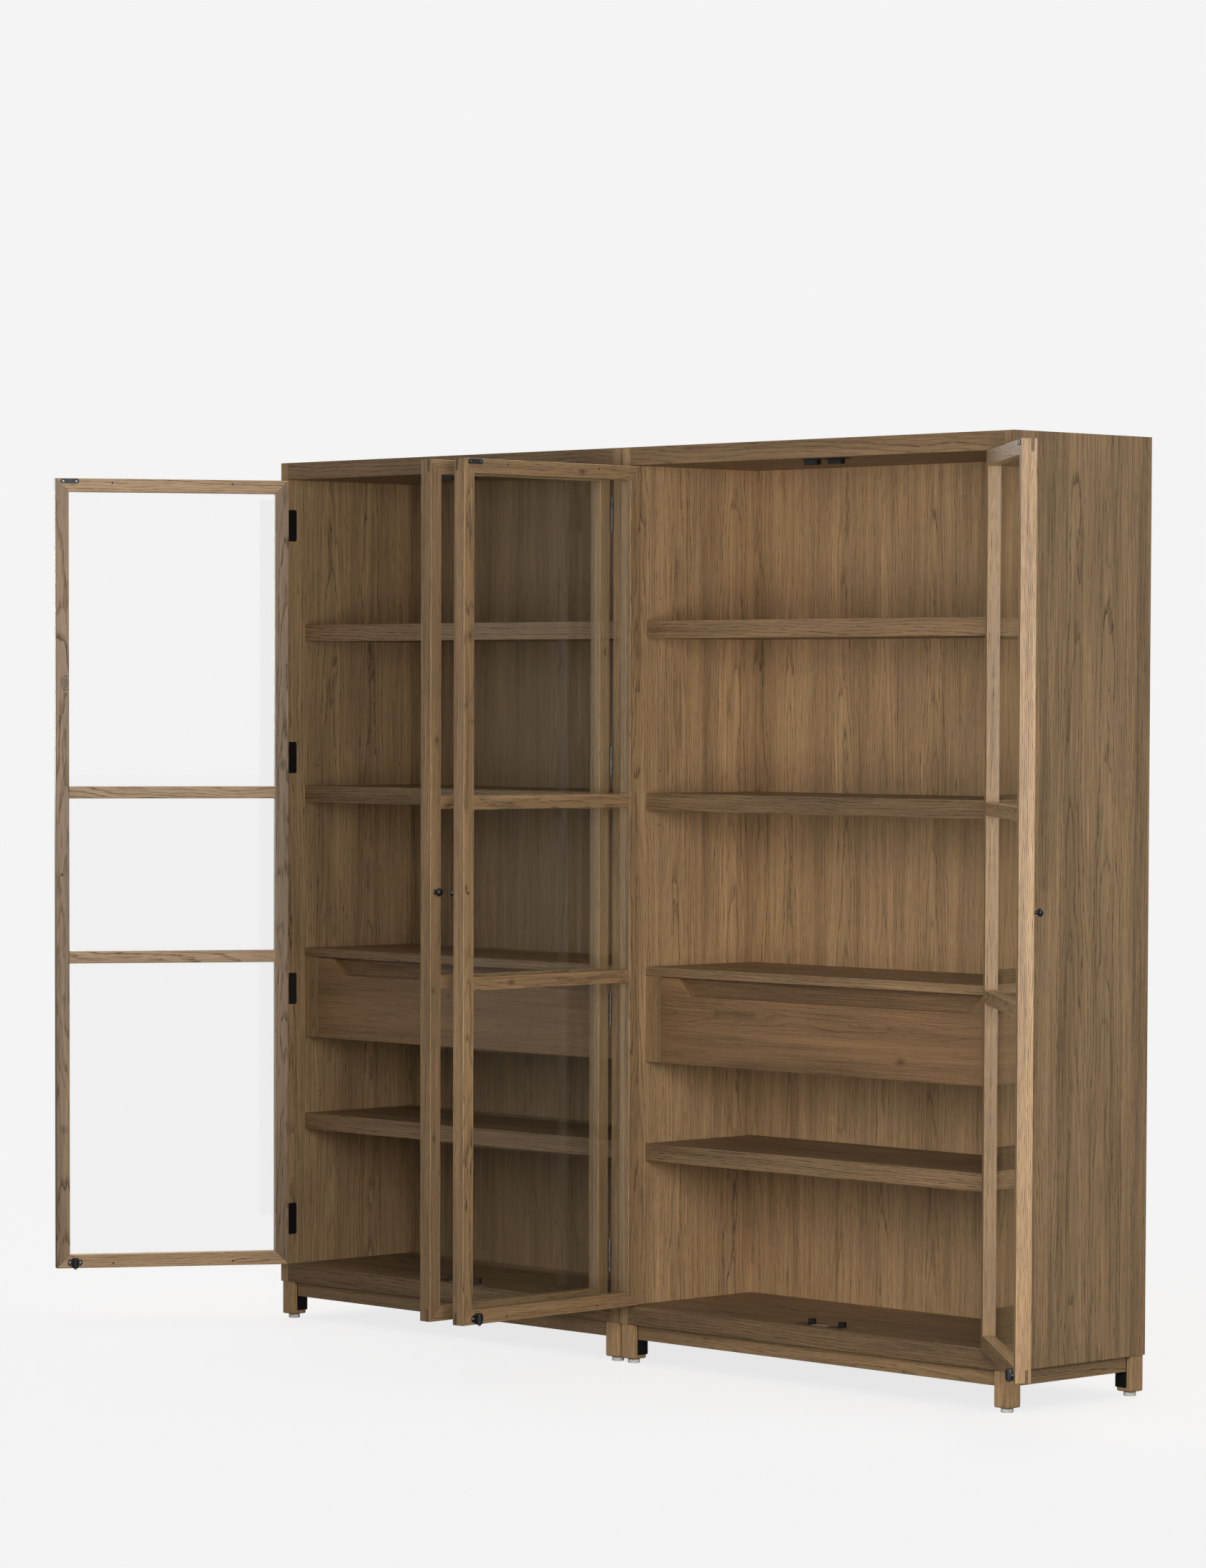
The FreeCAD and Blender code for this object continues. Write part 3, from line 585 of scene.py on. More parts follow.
@dataclass(frozen=True)
class BrushedOak(Finish):
    """European oak, plain sawn, wire brushed and oiled grey brown.

    Brushing clears the soft early wood, so each ring shows as a row of dark open pores that fades into smooth
    late wood: straight lines at a board's sides and arches in its middle, because a trunk tapers.

    Args:
        name: name of the material.
        light, middle, dark: late wood, the run of the board and the pores.
        knot: the heart of a knot.
        ring: spacing of the growth rings, in millimetres.
        leaf: width of a leaf of figure, in millimetres.
        knots: share of the cells along a board that hold a knot.
        coordinates: where the grain's direction comes from.
        shift: moves the figure, so that two dressed panels differ, in metres.
        face: where an upright panel's middle lies along X, in metres.
        polish: roughness of the late wood.
        tone: lighter or darker than the run.
        slot: the record's material slot; not used.
    """

    name: str = "brushed_oak"
    light: str = "#9A7B57"
    middle: str = "#7F6446"
    dark: str = "#3F2E1D"
    knot: str = "#20160D"
    ring: float = 5.5
    leaf: float = 150.0
    knots: float = 0.0
    coordinates: Coordinates = Coordinates.BOARD
    shift: float = 0.0
    face: float = 0.0
    polish: float = 0.50
    tone: float = 0.0
    slot: str = "oak"

    # cycles a metre along, across and through the board; the pores are larger than life, so that they show
    BEND = (2.4, 13.0, 1.0)
    WAVE = (12.0, 75.0, 1.0)
    PORES = (34.0, 620.0, 620.0)
    FIBRES = (6.0, 300.0, 300.0)
    STREAKS = (1.5, 70.0, 70.0)
    DRIFT = (1.1, 16.0, 16.0)
    # metres that the rings' radius gains with a metre of trunk, a bend, a wave and a knot
    TAPER = 0.016
    BEND_RISE = 0.030
    WAVE_RISE = 0.0045
    KNOT_RISE = 0.012
    # the pith: metres along it that a leaf is moved at most, share of a leaf aside, metres behind the face
    ALONG = 9.0
    ASIDE = 0.35
    BEHIND = (0.015, 0.045)
    # early wood: its share of a ring, and its least and added strength from year to year
    EARLY = 0.5
    YEAR = (0.35, 0.55)
    # pores: range of noise in which they open, then their base and weight in early wood and in all wood
    PORE_RANGE = (0.42, 0.62)
    PORE_BASE = 0.20
    PORE_IN_RING = 0.85
    PORE_ANYWHERE = 0.14
    # weights in the brightness
    FIBRE_WEIGHT = 1.15
    STREAK_WEIGHT = 0.75
    DRIFT_WEIGHT = 0.75
    LEAF_WEIGHT = 0.12
    TONE_WEIGHT = 0.11
    KNOT_WEIGHT = 0.55
    # relief: a pore's added roughness, a fibre's height as a share of a pore's depth, and that depth in metres
    PORE_ROUGHNESS = 0.25
    FIBRE_HEIGHT = 0.35
    DEPTH = 0.0006

    def oak_coordinates(self, tree: Tree) -> tuple:
        """Find the place in the wood.

        Args:
            tree: the node tree.

        Returns:
            Along, across and through sockets in metres, and the board's tone.
        """
        if self.coordinates is Coordinates.BOARD:
            vector = add(tree, "Attribute", {"attribute_name": "grain"}).outputs["Vector"]
            tone = add(tree, "Attribute", {"attribute_name": "tone"}).outputs["Fac"]
            split = add(tree, "SeparateXYZ", {}, {0: vector})
            return (split.outputs[0], split.outputs[1], split.outputs[2]), tone
        vector = add(tree, "TexCoord").outputs["Object"]
        moved = add(tree, "Mapping", {}, {"Vector": vector, "Location": (-self.face, self.shift, self.shift)})
        split = add(tree, "SeparateXYZ", {}, {0: moved.outputs[0]})
        return (split.outputs[2], split.outputs[1], split.outputs[0]), self.tone

    def figure(self, tree: Tree, board: tuple) -> tuple:
        """Growth rings round a pith.

        The rings' radius is that of a pith up to a third of a leaf aside and 15 to 60 mm behind the face, and
        it grows along the board with the trunk's taper and wanders with two slow noises.

        Args:
            tree: the node tree.
            board: along, across and through sockets.

        Returns:
            Early wood of each ring, 0 to 1, then the knots and three chances of the leaf.
        """
        along, across, through = board
        leaf = self.leaf * MM
        leaves = maths(tree, "DIVIDE", across, leaf)
        number = maths(tree, "FLOOR", leaves)
        dice = chances(tree, number)
        own = maths(tree, "MULTIPLY", maths(tree, "SUBTRACT", maths(tree, "FRACT", leaves), 0.5), leaf)
        moved = maths(tree, "MULTIPLY_ADD", dice[0], self.ALONG, along)
        reach = self.ASIDE * leaf
        aside = maths(tree, "ADD", own, maths(tree, "MULTIPLY_ADD", dice[1], 2 * reach, -reach))
        nearest, further = self.BEHIND
        behind = maths(tree, "ADD", through, maths(tree, "MULTIPLY_ADD", dice[2], further, nearest))
        knot = self.knot_mask(tree, moved, own)
        place = (moved, aside, number)
        bend = noise(tree, place, self.BEND, 2.0)
        wave = noise(tree, place, self.WAVE, 2.0)
        radius = hypotenuse(tree, aside, behind)
        rises = (self.TAPER, self.BEND_RISE, self.WAVE_RISE, self.KNOT_RISE)
        for amount, rise in zip((moved, bend, wave, knot), rises):
            radius = maths(tree, "MULTIPLY_ADD", amount, rise, radius)
        rings = maths(tree, "DIVIDE", radius, self.ring * MM)
        year = white_noise(tree, maths(tree, "FLOOR", rings)).outputs["Value"]
        fade = {"Value": maths(tree, "FRACT", rings), "From Max": self.EARLY, "To Min": 1.0, "To Max": 0.0}
        early = add(tree, "MapRange", {"interpolation_type": "SMOOTHSTEP"}, fade).outputs[0]
        least, added = self.YEAR
        strength = maths(tree, "MULTIPLY_ADD", year, added, least)
        return maths(tree, "MULTIPLY", early, strength), knot, dice

    def surface(self, tree: Tree) -> Socket:
        """Growth rings with pores, fibres, streaks, knots and a drifting tone.

        Args:
            tree: the node tree.

        Returns:
            The shader.
        """
        board, tone = self.oak_coordinates(tree)
        early, knot, dice = self.figure(tree, board)
        pores = between(tree, noise(tree, board, self.PORES, 2.0), *self.PORE_RANGE)
        fibre = noise(tree, board, self.FIBRES, 4.0)
        streak = noise(tree, board, self.STREAKS, 2.0)
        drift = noise(tree, board, self.DRIFT, 3.0)
        open_share = maths(tree, "MULTIPLY_ADD", pores, self.PORE_IN_RING, self.PORE_BASE)
        ringed = maths(tree, "MULTIPLY", early, open_share)
        line = maths(tree, "MULTIPLY_ADD", pores, self.PORE_ANYWHERE, ringed, clamp=True)
        body = mix(tree, drift, linear(self.middle), linear(self.light))
        lined = mix(tree, line, body, linear(self.dark))
        weights = (self.FIBRE_WEIGHT, self.STREAK_WEIGHT, self.DRIFT_WEIGHT, self.LEAF_WEIGHT)
        value = around_one(tree, tuple(zip((fibre, streak, drift, dice[1]), weights)))
        # A board's tone attribute brings its random tone and, on some boards, painted light, painted shade and
        # a painted edge highlight.
        value = maths(tree, "MULTIPLY_ADD", tone, self.TONE_WEIGHT, value)
        shade = add(tree, "HueSaturation", {}, {"Color": lined, "Value": value}).outputs[0]
        colour = mix(tree, maths(tree, "MULTIPLY", knot, self.KNOT_WEIGHT), shade, linear(self.knot))
        rough = maths(tree, "MULTIPLY_ADD", line, self.PORE_ROUGHNESS, self.polish)
        height = maths(tree, "MULTIPLY_ADD", line, -1.0, maths(tree, "MULTIPLY", fibre, self.FIBRE_HEIGHT))
        bump = add(tree, "Bump", {}, {"Strength": 0.6, "Distance": self.DEPTH, "Height": height})
        return add(tree, "BsdfPrincipled", {}, {
            "Base Color": colour, "Roughness": rough, "IOR": 1.5,
            "Specular IOR Level": 0.5, "Normal": bump.outputs[0]}).outputs[0]

    def knot_mask(self, tree: Tree, along: object, across: object) -> Socket:
        """Knots: cells 0.4 m long each hold at most one, 5 to 13 mm in radius.

        Args:
            tree: the node tree.
            along, across: place on the board.

        Returns:
            1 in a knot and 0 away from it.
        """
        cell = 0.4
        squeeze = 0.6
        off_centre = 0.012
        smallest, larger = 0.005, 0.008
        edge, softness = 1.25, 1.6
        scaled = maths(tree, "DIVIDE", along, cell)
        dice = chances(tree, maths(tree, "FLOOR", scaled))
        place = maths(tree, "MULTIPLY_ADD", dice[0], 0.6, 0.2)
        beyond = maths(tree, "SUBTRACT", maths(tree, "FRACT", scaled), place)
        lengthways = maths(tree, "MULTIPLY", beyond, cell * squeeze)
        centre = maths(tree, "MULTIPLY_ADD", dice[1], 2 * off_centre, -off_centre)
        sideways = maths(tree, "SUBTRACT", across, centre)
        size = maths(tree, "MULTIPLY_ADD", dice[1], larger, smallest)
        far = maths(tree, "DIVIDE", hypotenuse(tree, lengthways, sideways), size)
        near = maths(tree, "POWER", maths(tree, "SUBTRACT", edge, far, clamp=True), softness)
        there = maths(tree, "LESS_THAN", dice[2], self.knots)
        return maths(tree, "MULTIPLY", near, there)


@dataclass(frozen=True)
class Coat(Finish):
    """A metal or plastic surface with a fine texture and drifting gloss.

    Args:
        name: name of the material.
        colour: its colour.
        metallic, roughness: typical of the material.
        grit: size of the texture, in millimetres.
        relief: depth of the texture, in millimetres.
        slot: the record's material slot; not used.
        worn: the colour that it drifts to, or nothing for one colour.
        gloss_drift: how far the roughness drifts in all.
        patches: patches of worn colour a metre, roughly.
    """

    name: str
    colour: str
    metallic: float
    roughness: float
    grit: float
    relief: float
    slot: str
    worn: str = ""
    gloss_drift: float = 0.22
    patches: float = 60.0

    def surface(self, tree: Tree) -> Socket:
        """Fine noise lifts the surface and changes its gloss, and a coarser one its colour.

        Args:
            tree: the node tree.

        Returns:
            The shader.
        """
        fine = texture(tree, 1 / (self.grit * MM), 3.0)
        broad = texture(tree, self.patches, 2.0)
        rough = maths(tree, "MULTIPLY_ADD", fine, self.gloss_drift, self.roughness - self.gloss_drift / 2)
        share = between(tree, broad, 0.35, 0.75)
        colour = mix(tree, share, linear(self.colour), linear(self.worn or self.colour))
        bump = add(tree, "Bump", {}, {"Strength": 0.5, "Distance": self.relief * MM, "Height": fine})
        return add(tree, "BsdfPrincipled", {}, {
            "Base Color": colour, "Metallic": self.metallic, "Roughness": rough,
            "Normal": bump.outputs[0]}).outputs[0]


@dataclass(frozen=True)
class FloatGlass(Finish):
    """Clear float glass with polished faces: a faint grey green tint, and a mirror at a glance.

    Lamps shine through it, because a pane casts next to no shadow.

    Args:
        name: name of the material.
        tint: colour of what is seen through it.
        passed: colour of a lamp's light behind it.
        slot: the record's material slot; not used.
        ripples: ripples a metre, roughly.
        ripple_depth: in metres.
    """

    name: str = "clear_float_glass"
    tint: str = "#FEFFFE"
    passed: str = "#ECEEEC"
    slot: str = "glass"
    ripples: float = 3.0
    ripple_depth: float = 0.002

    def surface(self, tree: Tree) -> Socket:
        """Smooth glass for sight, and a clear pane for the lamps' rays.

        Args:
            tree: the node tree.

        Returns:
            The shader.
        """
        ripple = texture(tree, self.ripples, 1.0)
        bump = add(tree, "Bump", {}, {"Strength": 0.02, "Distance": self.ripple_depth, "Height": ripple})
        glass = add(tree, "BsdfPrincipled", {}, {
            "Base Color": linear(self.tint), "Roughness": 0.0, "IOR": 1.5, "Transmission Weight": 1.0,
            "Normal": bump.outputs[0]})
        clear = add(tree, "BsdfTransparent", {}, {"Color": linear(self.passed)})
        ray = add(tree, "LightPath").outputs["Is Shadow Ray"]
        return add(tree, "MixShader", {}, {0: ray, 1: glass.outputs[0], 2: clear.outputs[0]}).outputs[0]


@dataclass(frozen=True)
class Paper(Finish):
    """The studio floor: at its own brightness for the lens, and matt for the light that the object gets.

    Args:
        name: name of the material.
        pale: the colour that is seen.
        matt: share of the light that it throws back.
        sky: strength of the sky above it.
        slot: it has none; not used.
    """

    name: str = "pale_paper"
    pale: str = "#F4F4F4"
    matt: float = 0.55
    sky: float = 0.22
    slot: str = ""

    def surface(self, tree: Tree) -> Socket:
        """A matt surface, and a glow that makes up what the sky's light leaves short of the pale colour.

        Args:
            tree: the node tree.

        Returns:
            The shader.
        """
        level = linear(self.pale)[0]
        glow = maths(tree, "MULTIPLY", seen_directly(tree), (level - self.matt * self.sky) / level)
        lit = add(tree, "BsdfDiffuse", {}, {"Color": (self.matt, self.matt, self.matt, 1.0)})
        shine = add(tree, "Emission", {}, {"Color": linear(self.pale), "Strength": glow})
        return add(tree, "AddShader", {}, {0: lit.outputs[0], 1: shine.outputs[0]}).outputs[0]


VENEER = BrushedOak("oak_veneer", light="#BF9D73", middle="#9E7E59", dark="#453320")
SHELF_OAK = BrushedOak("oak_shelf", light="#9A7B57", middle="#7F6446", ring=6.0)
SOLID = BrushedOak(
    "solid_oak", light="#A6865F", middle="#896D4D", dark="#3A2A1A", ring=3.6, knots=0.28, polish=0.40
)
DRAWER_OAK = BrushedOak(
    "oak_drawer_front", light="#95724E", middle="#7E5F3D", dark="#5F4830", ring=4.2, leaf=260.0, knots=0.4
)
KEY_OAK = BrushedOak("oak_end_grain", light="#705840", middle="#5E4934", dark="#38291C", ring=2.5)
RUNNER_OAK = BrushedOak("waxed_oak", light="#A58862", middle="#947752", ring=3.0)
BLACK = Coat("black_powder_coat", "#0E0E0F", 0.0, 0.42, 0.7, 0.05, "hardware", "#1A1A1B")
STEEL = Coat("bright_steel", "#A9A9AB", 1.0, 0.30, 0.4, 0.02, "steel", "#8E8E91")
DARK_STEEL = Coat("worn_black_steel", "#6E6E70", 1.0, 0.34, 0.5, 0.03, "hardware", "#3A3A3C")
PLATE = Coat("dark_zinc_plate", "#3C3F40", 0.6, 0.48, 0.5, 0.02, "hardware", "#2B2E2F")
CLEAR_STRIP = Coat("milky_strip", "#9C8A74", 0.0, 0.30, 0.8, 0.03, "hardware", "#8B7862")
NYLON = Coat("white_nylon", "#E9E7E0", 0.0, 0.50, 0.8, 0.04, "glide", "#DEDBD2")
HOLE = Coat("shadowed_bore", "#120D08", 0.0, 0.80, 0.5, 0.05, "hardware")
GLASS = FloatGlass()


def board_between(low: tuple, high: tuple, along: np.ndarray, across: np.ndarray, **shape: object) -> Patch:
    """A board between two corners.

    Args:
        low, high: the corners, in frame millimetres.
        along, across: frame directions of the grain and of the board's width.
        shape: the board's other fields.

    Returns:
        The board's surface.
    """
    size = np.array(high, float) - low
    through = np.abs(np.cross(along, across))
    board = Board(size @ along, size @ across, size @ through, **shape)
    return board.patch(FRAME.inside(low, along, across, through))


def board_for(node: str, along: np.ndarray, across: np.ndarray, finish: Finish, **shape: object) -> None:
    """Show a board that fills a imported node's box instead of the node, shaped as by board_between."""
    board = board_between(*node_box(node), along, across, **shape)
    make_piece(f"{node}_board", [board], finish, BODY, (node,))


# ---- cabinet
@dataclass
class Cabinet:
    """Panels, shelves, base and pins of one cabinet.

    Args:
        side: left or right.
        arris, back_arris: radius of the eased edges, and of the back's.
        lip: radius of the lower front edge of the top.
        back_light_tone, top_tone, floor_shade_tone: how much lighter (+) or darker (-) those boards are; the
        back's stands for how far the key lamp reaches in, as painted light in the right cabinet and painted
        shade in the left, and the floor's is painted shade.
        side_tones: the same, of the left and the right side panel.
        side_shifts: how far the figure of each side panel is moved, in metres.
        strip, strip_corner: size of the strip between the floor keepers, and radius of its corners.
        strip_in: from the floor's front edge to the middle of that strip.
        shelves: name and tone of each adjustable shelf.
    """

    side: str
    arris: float = 0.9
    back_arris: float = 0.3
    lip: float = 2.2
    back_light_tone: float = 0.0
    top_tone: float = 0.5
    floor_shade_tone: float = -2.2
    side_tones: tuple = (0.0, -1.5)
    side_shifts: tuple = (0.31, 1.08)
    strip: tuple = (48.0, 9.0, 1.2)
    strip_in: float = 46.0
    strip_corner: float = 2.0
    shelves: tuple = (("upper", 1.5), ("middle", -2.3), ("lower", -0.5))

    def build(self) -> None:
        """Make and dress every piece of the cabinet."""
        self.panels()
        self.make_shelves()
        self.make_floor_strip()

    def panels(self) -> None:
        """Bored side panels stay as packed; top, floor and back are boards."""
        for end, tone, shift in zip(("left", "right"), self.side_tones, self.side_shifts):
            node = f"{self.side}_cabinet_{end}_side"
            middle = sum(node_box(node))[0] / 2 * MM
            look = {"name": f"oak_veneer_{self.side}_{end}", "coordinates": Coordinates.UPRIGHT}
            dress(node, replace(VENEER, **look, shift=shift, face=middle, tone=tone))
        edges = (self.lip, self.arris, self.arris, self.arris)
        board_for(f"{self.side}_cabinet_top", X, Y, SHELF_OAK, arris=edges, tone=self.top_tone)
        # The floor is darkened as painted shade; the back's tone is painted light and shade for how far the key
        # lamp reaches in.
        board_for(f"{self.side}_cabinet_floor", X, Y, SHELF_OAK, arris=self.arris, tone=self.floor_shade_tone)
        board_for(f"{self.side}_cabinet_back", Z, X, VENEER, arris=self.back_arris, tone=self.back_light_tone)

    def make_shelves(self) -> None:
        """Adjustable shelves, and the fixed one over the drawer with the drawer itself."""
        for name, tone in self.shelves:
            board_for(f"{self.side}_{name}_shelf", X, Y, SHELF_OAK, arris=self.arris, tone=tone)
        board_for(f"{self.side}_drawer_shelf", X, Y, SHELF_OAK, arris=self.arris)
        Drawer(self.side).build()

    def make_floor_strip(self) -> None:
        """A thin milky strip on the floor between the two keepers, which the doors' lower rails meet."""
        low, high = node_box(f"{self.side}_cabinet_floor")
        centre = ((low[0] + high[0]) / 2, low[1] + self.strip_in, high[2])
        strip = plate(self.strip, FRAME.inside(centre, X, Y, Z), self.strip_corner)
        make_piece(f"{self.side}_floor_strip", [strip], CLEAR_STRIP, BODY)


@dataclass
class Drawer:
    """One drawer: its front with a finger notch, its box and the strips beside it.

    Args:
        side: left or right.
        notch_depth: how far the notch is cut down from the top edge.
        top_half, bottom_half: half the notch's length at its mouth and at its foot.
        filler: width of the strips beside the drawer.
        strip: thickness of those strips.
        board: thickness of the box's walls.
        base: thickness of its base.
        side_drop: how far the sides and the rear stay below the board behind the front.
        arris, filler_arris: radius of the eased edges of the front and of the strips.
        edge_highlight, spread: of the front, as for a board; the first is a painted highlight on its long
            edges.
        inner_shade_tone: tone of the board behind the front, darkened as painted shade under the shelf above.
    """

    side: str
    notch_depth: float = 41.0
    top_half: float = 476.0
    bottom_half: float = 433.5
    filler: float = 48.0
    strip: float = 20.0
    board: float = 16.0
    base: float = 8.0
    side_drop: float = 23.5
    arris: float = 1.2
    filler_arris: float = 0.9
    edge_highlight: float = 2.5
    spread: float = 0.3
    inner_shade_tone: float = -2.2

    def build(self) -> None:
        """Make the fillers, the front and the box."""
        self.fillers()
        self.front()
        self.box()

    def fillers(self) -> None:
        """An upright strip at each end of the drawer, with its board behind."""
        node = f"{self.side}_drawer_fillers"
        low, high = node_box(node)
        behind = low[1] + self.strip
        right = high[0] - self.filler
        patches = []
        for x, inner in ((low[0], low[0] + self.filler - self.board), (right, right)):
            strip = ((x, low[1], low[2]), (x + self.filler, behind, high[2]))
            patches.append(board_between(*strip, Z, X, arris=self.filler_arris))
            board = ((inner, behind, low[2]), (inner + self.board, high[1], high[2]))
            patches.append(board_between(*board, Y, Z))
        make_piece(f"{node}_boards", patches, SOLID, BODY, (node,))

    def front(self) -> None:
        """A board whose height follows the notch.

        Stations run along the board; at x from the middle the top edge lies lower by the notch's depth times
        (top_half - |x|) / (top_half - bottom_half), held between 0 and 1, and the section is the rounded
        rectangle of that height.
        """
        node = f"{self.side}_drawer_front"
        low, high = node_box(node)
        length, thickness, height = high - low
        half = length / 2
        steps = 3
        ease, inset = eased_end(self.arris, steps)
        corners = np.array([-self.top_half, -self.bottom_half, self.bottom_half, self.top_half])
        x = np.concatenate((ease - half, corners, half - ease[::-1]))
        insets = np.concatenate((inset, np.zeros(4), inset[::-1]))
        cut = np.clip((self.top_half - np.abs(x)) / (self.top_half - self.bottom_half), 0, 1)
        tall = height - self.notch_depth * cut
        radii = np.full(4, self.arris)
        outline = np.array([rounded_section(z, thickness, radii, i, steps) for z, i in zip(tall, insets)])
        along = np.broadcast_to((x + half)[:, None], outline.shape[:2])
        rings = np.stack((along, outline[..., 0], outline[..., 1]), -1)
        middle, tone = TIMBER.take(height)
        grain = (rings + [0, middle - height / 2, 0]) * MM
        # The board's random tone, plus a painted highlight that lightens its long edges.
        worn = self.spread * tone + self.edge_highlight * highlight_profile(steps)
        board = tube(rings, FRAME.inside(low, X, Z, Y), grain, worn)
        make_piece(f"{node}_board", [board], DRAWER_OAK, f"{self.side}_drawer", (node,))

    def box(self) -> None:
        """Two sides, a tall board behind the front, a low one at the rear and a base."""
        node = f"{self.side}_drawer_box"
        (left, front, low), (right, rear, high) = node_box(node)
        wall, rear_top = self.board, high - self.side_drop
        inner = front + wall
        inner_rear = rear - wall
        patches = [
            board_between((left, inner, low), (left + wall, rear, rear_top), Y, Z),
            board_between((right - wall, inner, low), (right, rear, rear_top), Y, Z),
            # Painted shade: the board behind the front is darkened for the shadow under the shelf above.
            board_between((left, front, low), (right, inner, high), X, Z, tone=self.inner_shade_tone),
            board_between((left + wall, inner_rear, low), (right - wall, rear, rear_top), X, Z),
            board_between((left + wall, inner, low), (right - wall, inner_rear, low + self.base), X, Y),
        ]
        make_piece(f"{node}_boards", patches, DRAWER_OAK, f"{self.side}_drawer", (node,))


# ---- base
@dataclass
class Base:
    """Legs, aprons and levellers under both cabinets.

    Args:
        leg: side of a square leg.
        foot: rounding of its foot.
        apron: thickness of an apron.
        apron_round: rounding of its upper outer edge.
        setback: from a leg's outer face to an apron's.
        bracket: thickness of the corner angles.
        inset: from the cabinet's corner to a leg.
        glide_height, glide_radius: size of a glide.
        stem_radius, stem_length: size of its screw.
        pitch, thread: pitch and depth of the screw thread.
        leg_light_tone: how much lighter the legs are than the run of the timber, painted light for the key lamp
            on the front legs.
    """

    leg: float = 41.0
    foot: float = 4.0
    apron: float = 20.0
    apron_round: float = 5.0
    setback: float = 12.0
    bracket: float = 2.5
    inset: float = 3.0
    glide_height: float = 9.0
    glide_radius: float = 14.0
    stem_radius: float = 4.0
    stem_length: float = 36.0
    pitch: float = 1.25
    thread: float = 0.35
    leg_light_tone: float = 6.0

    def build(self) -> None:
        """Make the legs, the aprons and the levellers."""
        self.legs_and_aprons()
        for node in frame["nodes"]:
            if node.endswith("_leveller"):
                self.leveller(node)
        dress("corner_brackets", BLACK)

    def cabinet_span(self, side: str) -> tuple[np.ndarray, np.ndarray]:
        """The box of one cabinet's two side panels.

        Args:
            side: left or right.

        Returns:
            Its lowest and highest corner.
        """
        low = node_box(f"{side}_cabinet_left_side")[0]
        high = node_box(f"{side}_cabinet_right_side")[1]
        return low, high

    def legs_and_aprons(self) -> None:
        """Legs have a rounded foot; an apron's upper outer edge is rounded."""
        foot = node_box("legs")[0][2]
        apron_low = node_box("aprons")[0][2]
        legs, aprons = [], []
        for side in ("left", "right"):
            low, high = self.cabinet_span(side)
            for x in (low[0] + self.inset, high[0] - self.inset - self.leg):
                for y in (low[1] + self.inset, high[1] - self.inset - self.leg):
                    # Painted light: the legs are lightened for the key lamp on the front legs.
                    shape = {"arris": 1.4, "start_round": self.foot, "end_round": 0.2, "tone": self.leg_light_tone}
                    top = (x + self.leg, y + self.leg, low[2])
                    legs.append(board_between((x, y, foot), top, Z, X, **shape))
            aprons += self.aprons(low, high, apron_low)
        make_piece("leg_posts", legs, SOLID, BODY, ("legs",))
        make_piece("apron_boards", aprons, SOLID, BODY, ("aprons",))

    def aprons(self, low: np.ndarray, high: np.ndarray, bottom: float) -> list:
        """Four boards between the legs of one cabinet.

        Args:
            low, high: the cabinet's box.
            bottom: height of the lower edges.

        Returns:
            The boards.
        """
        near = low[:2] + self.inset
        far = high[:2] - self.inset
        reach = self.leg + self.bracket
        size = (low[2] - bottom, self.apron)
        shape = {"arris": (0.8, self.apron_round, 0.4, 0.8), "steps": 5}
        x_length, y_length = far - near - 2 * reach
        along_x = Board(x_length, *size, **shape)
        along_y = Board(y_length, *size, **shape)
        return [
            along_x.patch(FRAME.inside((near[0] + reach, near[1] + self.setback, bottom), X, Z, Y)),
            along_x.patch(FRAME.inside((near[0] + reach, far[1] - self.setback, bottom), X, Z, -Y)),
            along_y.patch(FRAME.inside((near[0] + self.setback, near[1] + reach, bottom), Y, Z, X)),
            along_y.patch(FRAME.inside((far[0] - self.setback, near[1] + reach, bottom), Y, Z, -X)),
        ]

    def leveller(self, node: str) -> None:
        """A nylon glide, and a steel screw whose radius ripples with its thread.

        Args:
            node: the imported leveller.
        """
        middle = sum(node_box(node)) / 2
        place = FRAME.inside((middle[0], middle[1], 0.0), Z, X, Y)
        edge = np.linspace(0, np.pi / 2, 5)[1:]
        rounding = 1.5
        r, h = self.glide_radius, self.glide_height
        along = np.concatenate(([0.0], rounding - rounding * np.cos(edge), [h - 1.0, h - 0.2, h]))
        inner = r - rounding
        radius = np.concatenate(([inner], inner + rounding * np.sin(edge), [r, r - 0.4, r - 1.6]))
        body = f"{node}_foot"
        make_piece(f"{node}_glide", [lathe(along, radius, place, 32)], NYLON, body, (node,), smooth=40)
        turns = int(self.stem_length / self.pitch)
        crests = np.linspace(h - 0.5, h + self.stem_length, turns * 2 + 1)
        ripple = self.stem_radius - self.thread * (np.arange(len(crests)) % 2)
        make_piece(f"{node}_screw", [lathe(crests, ripple, place, 12)], STEEL, body, smooth=20)


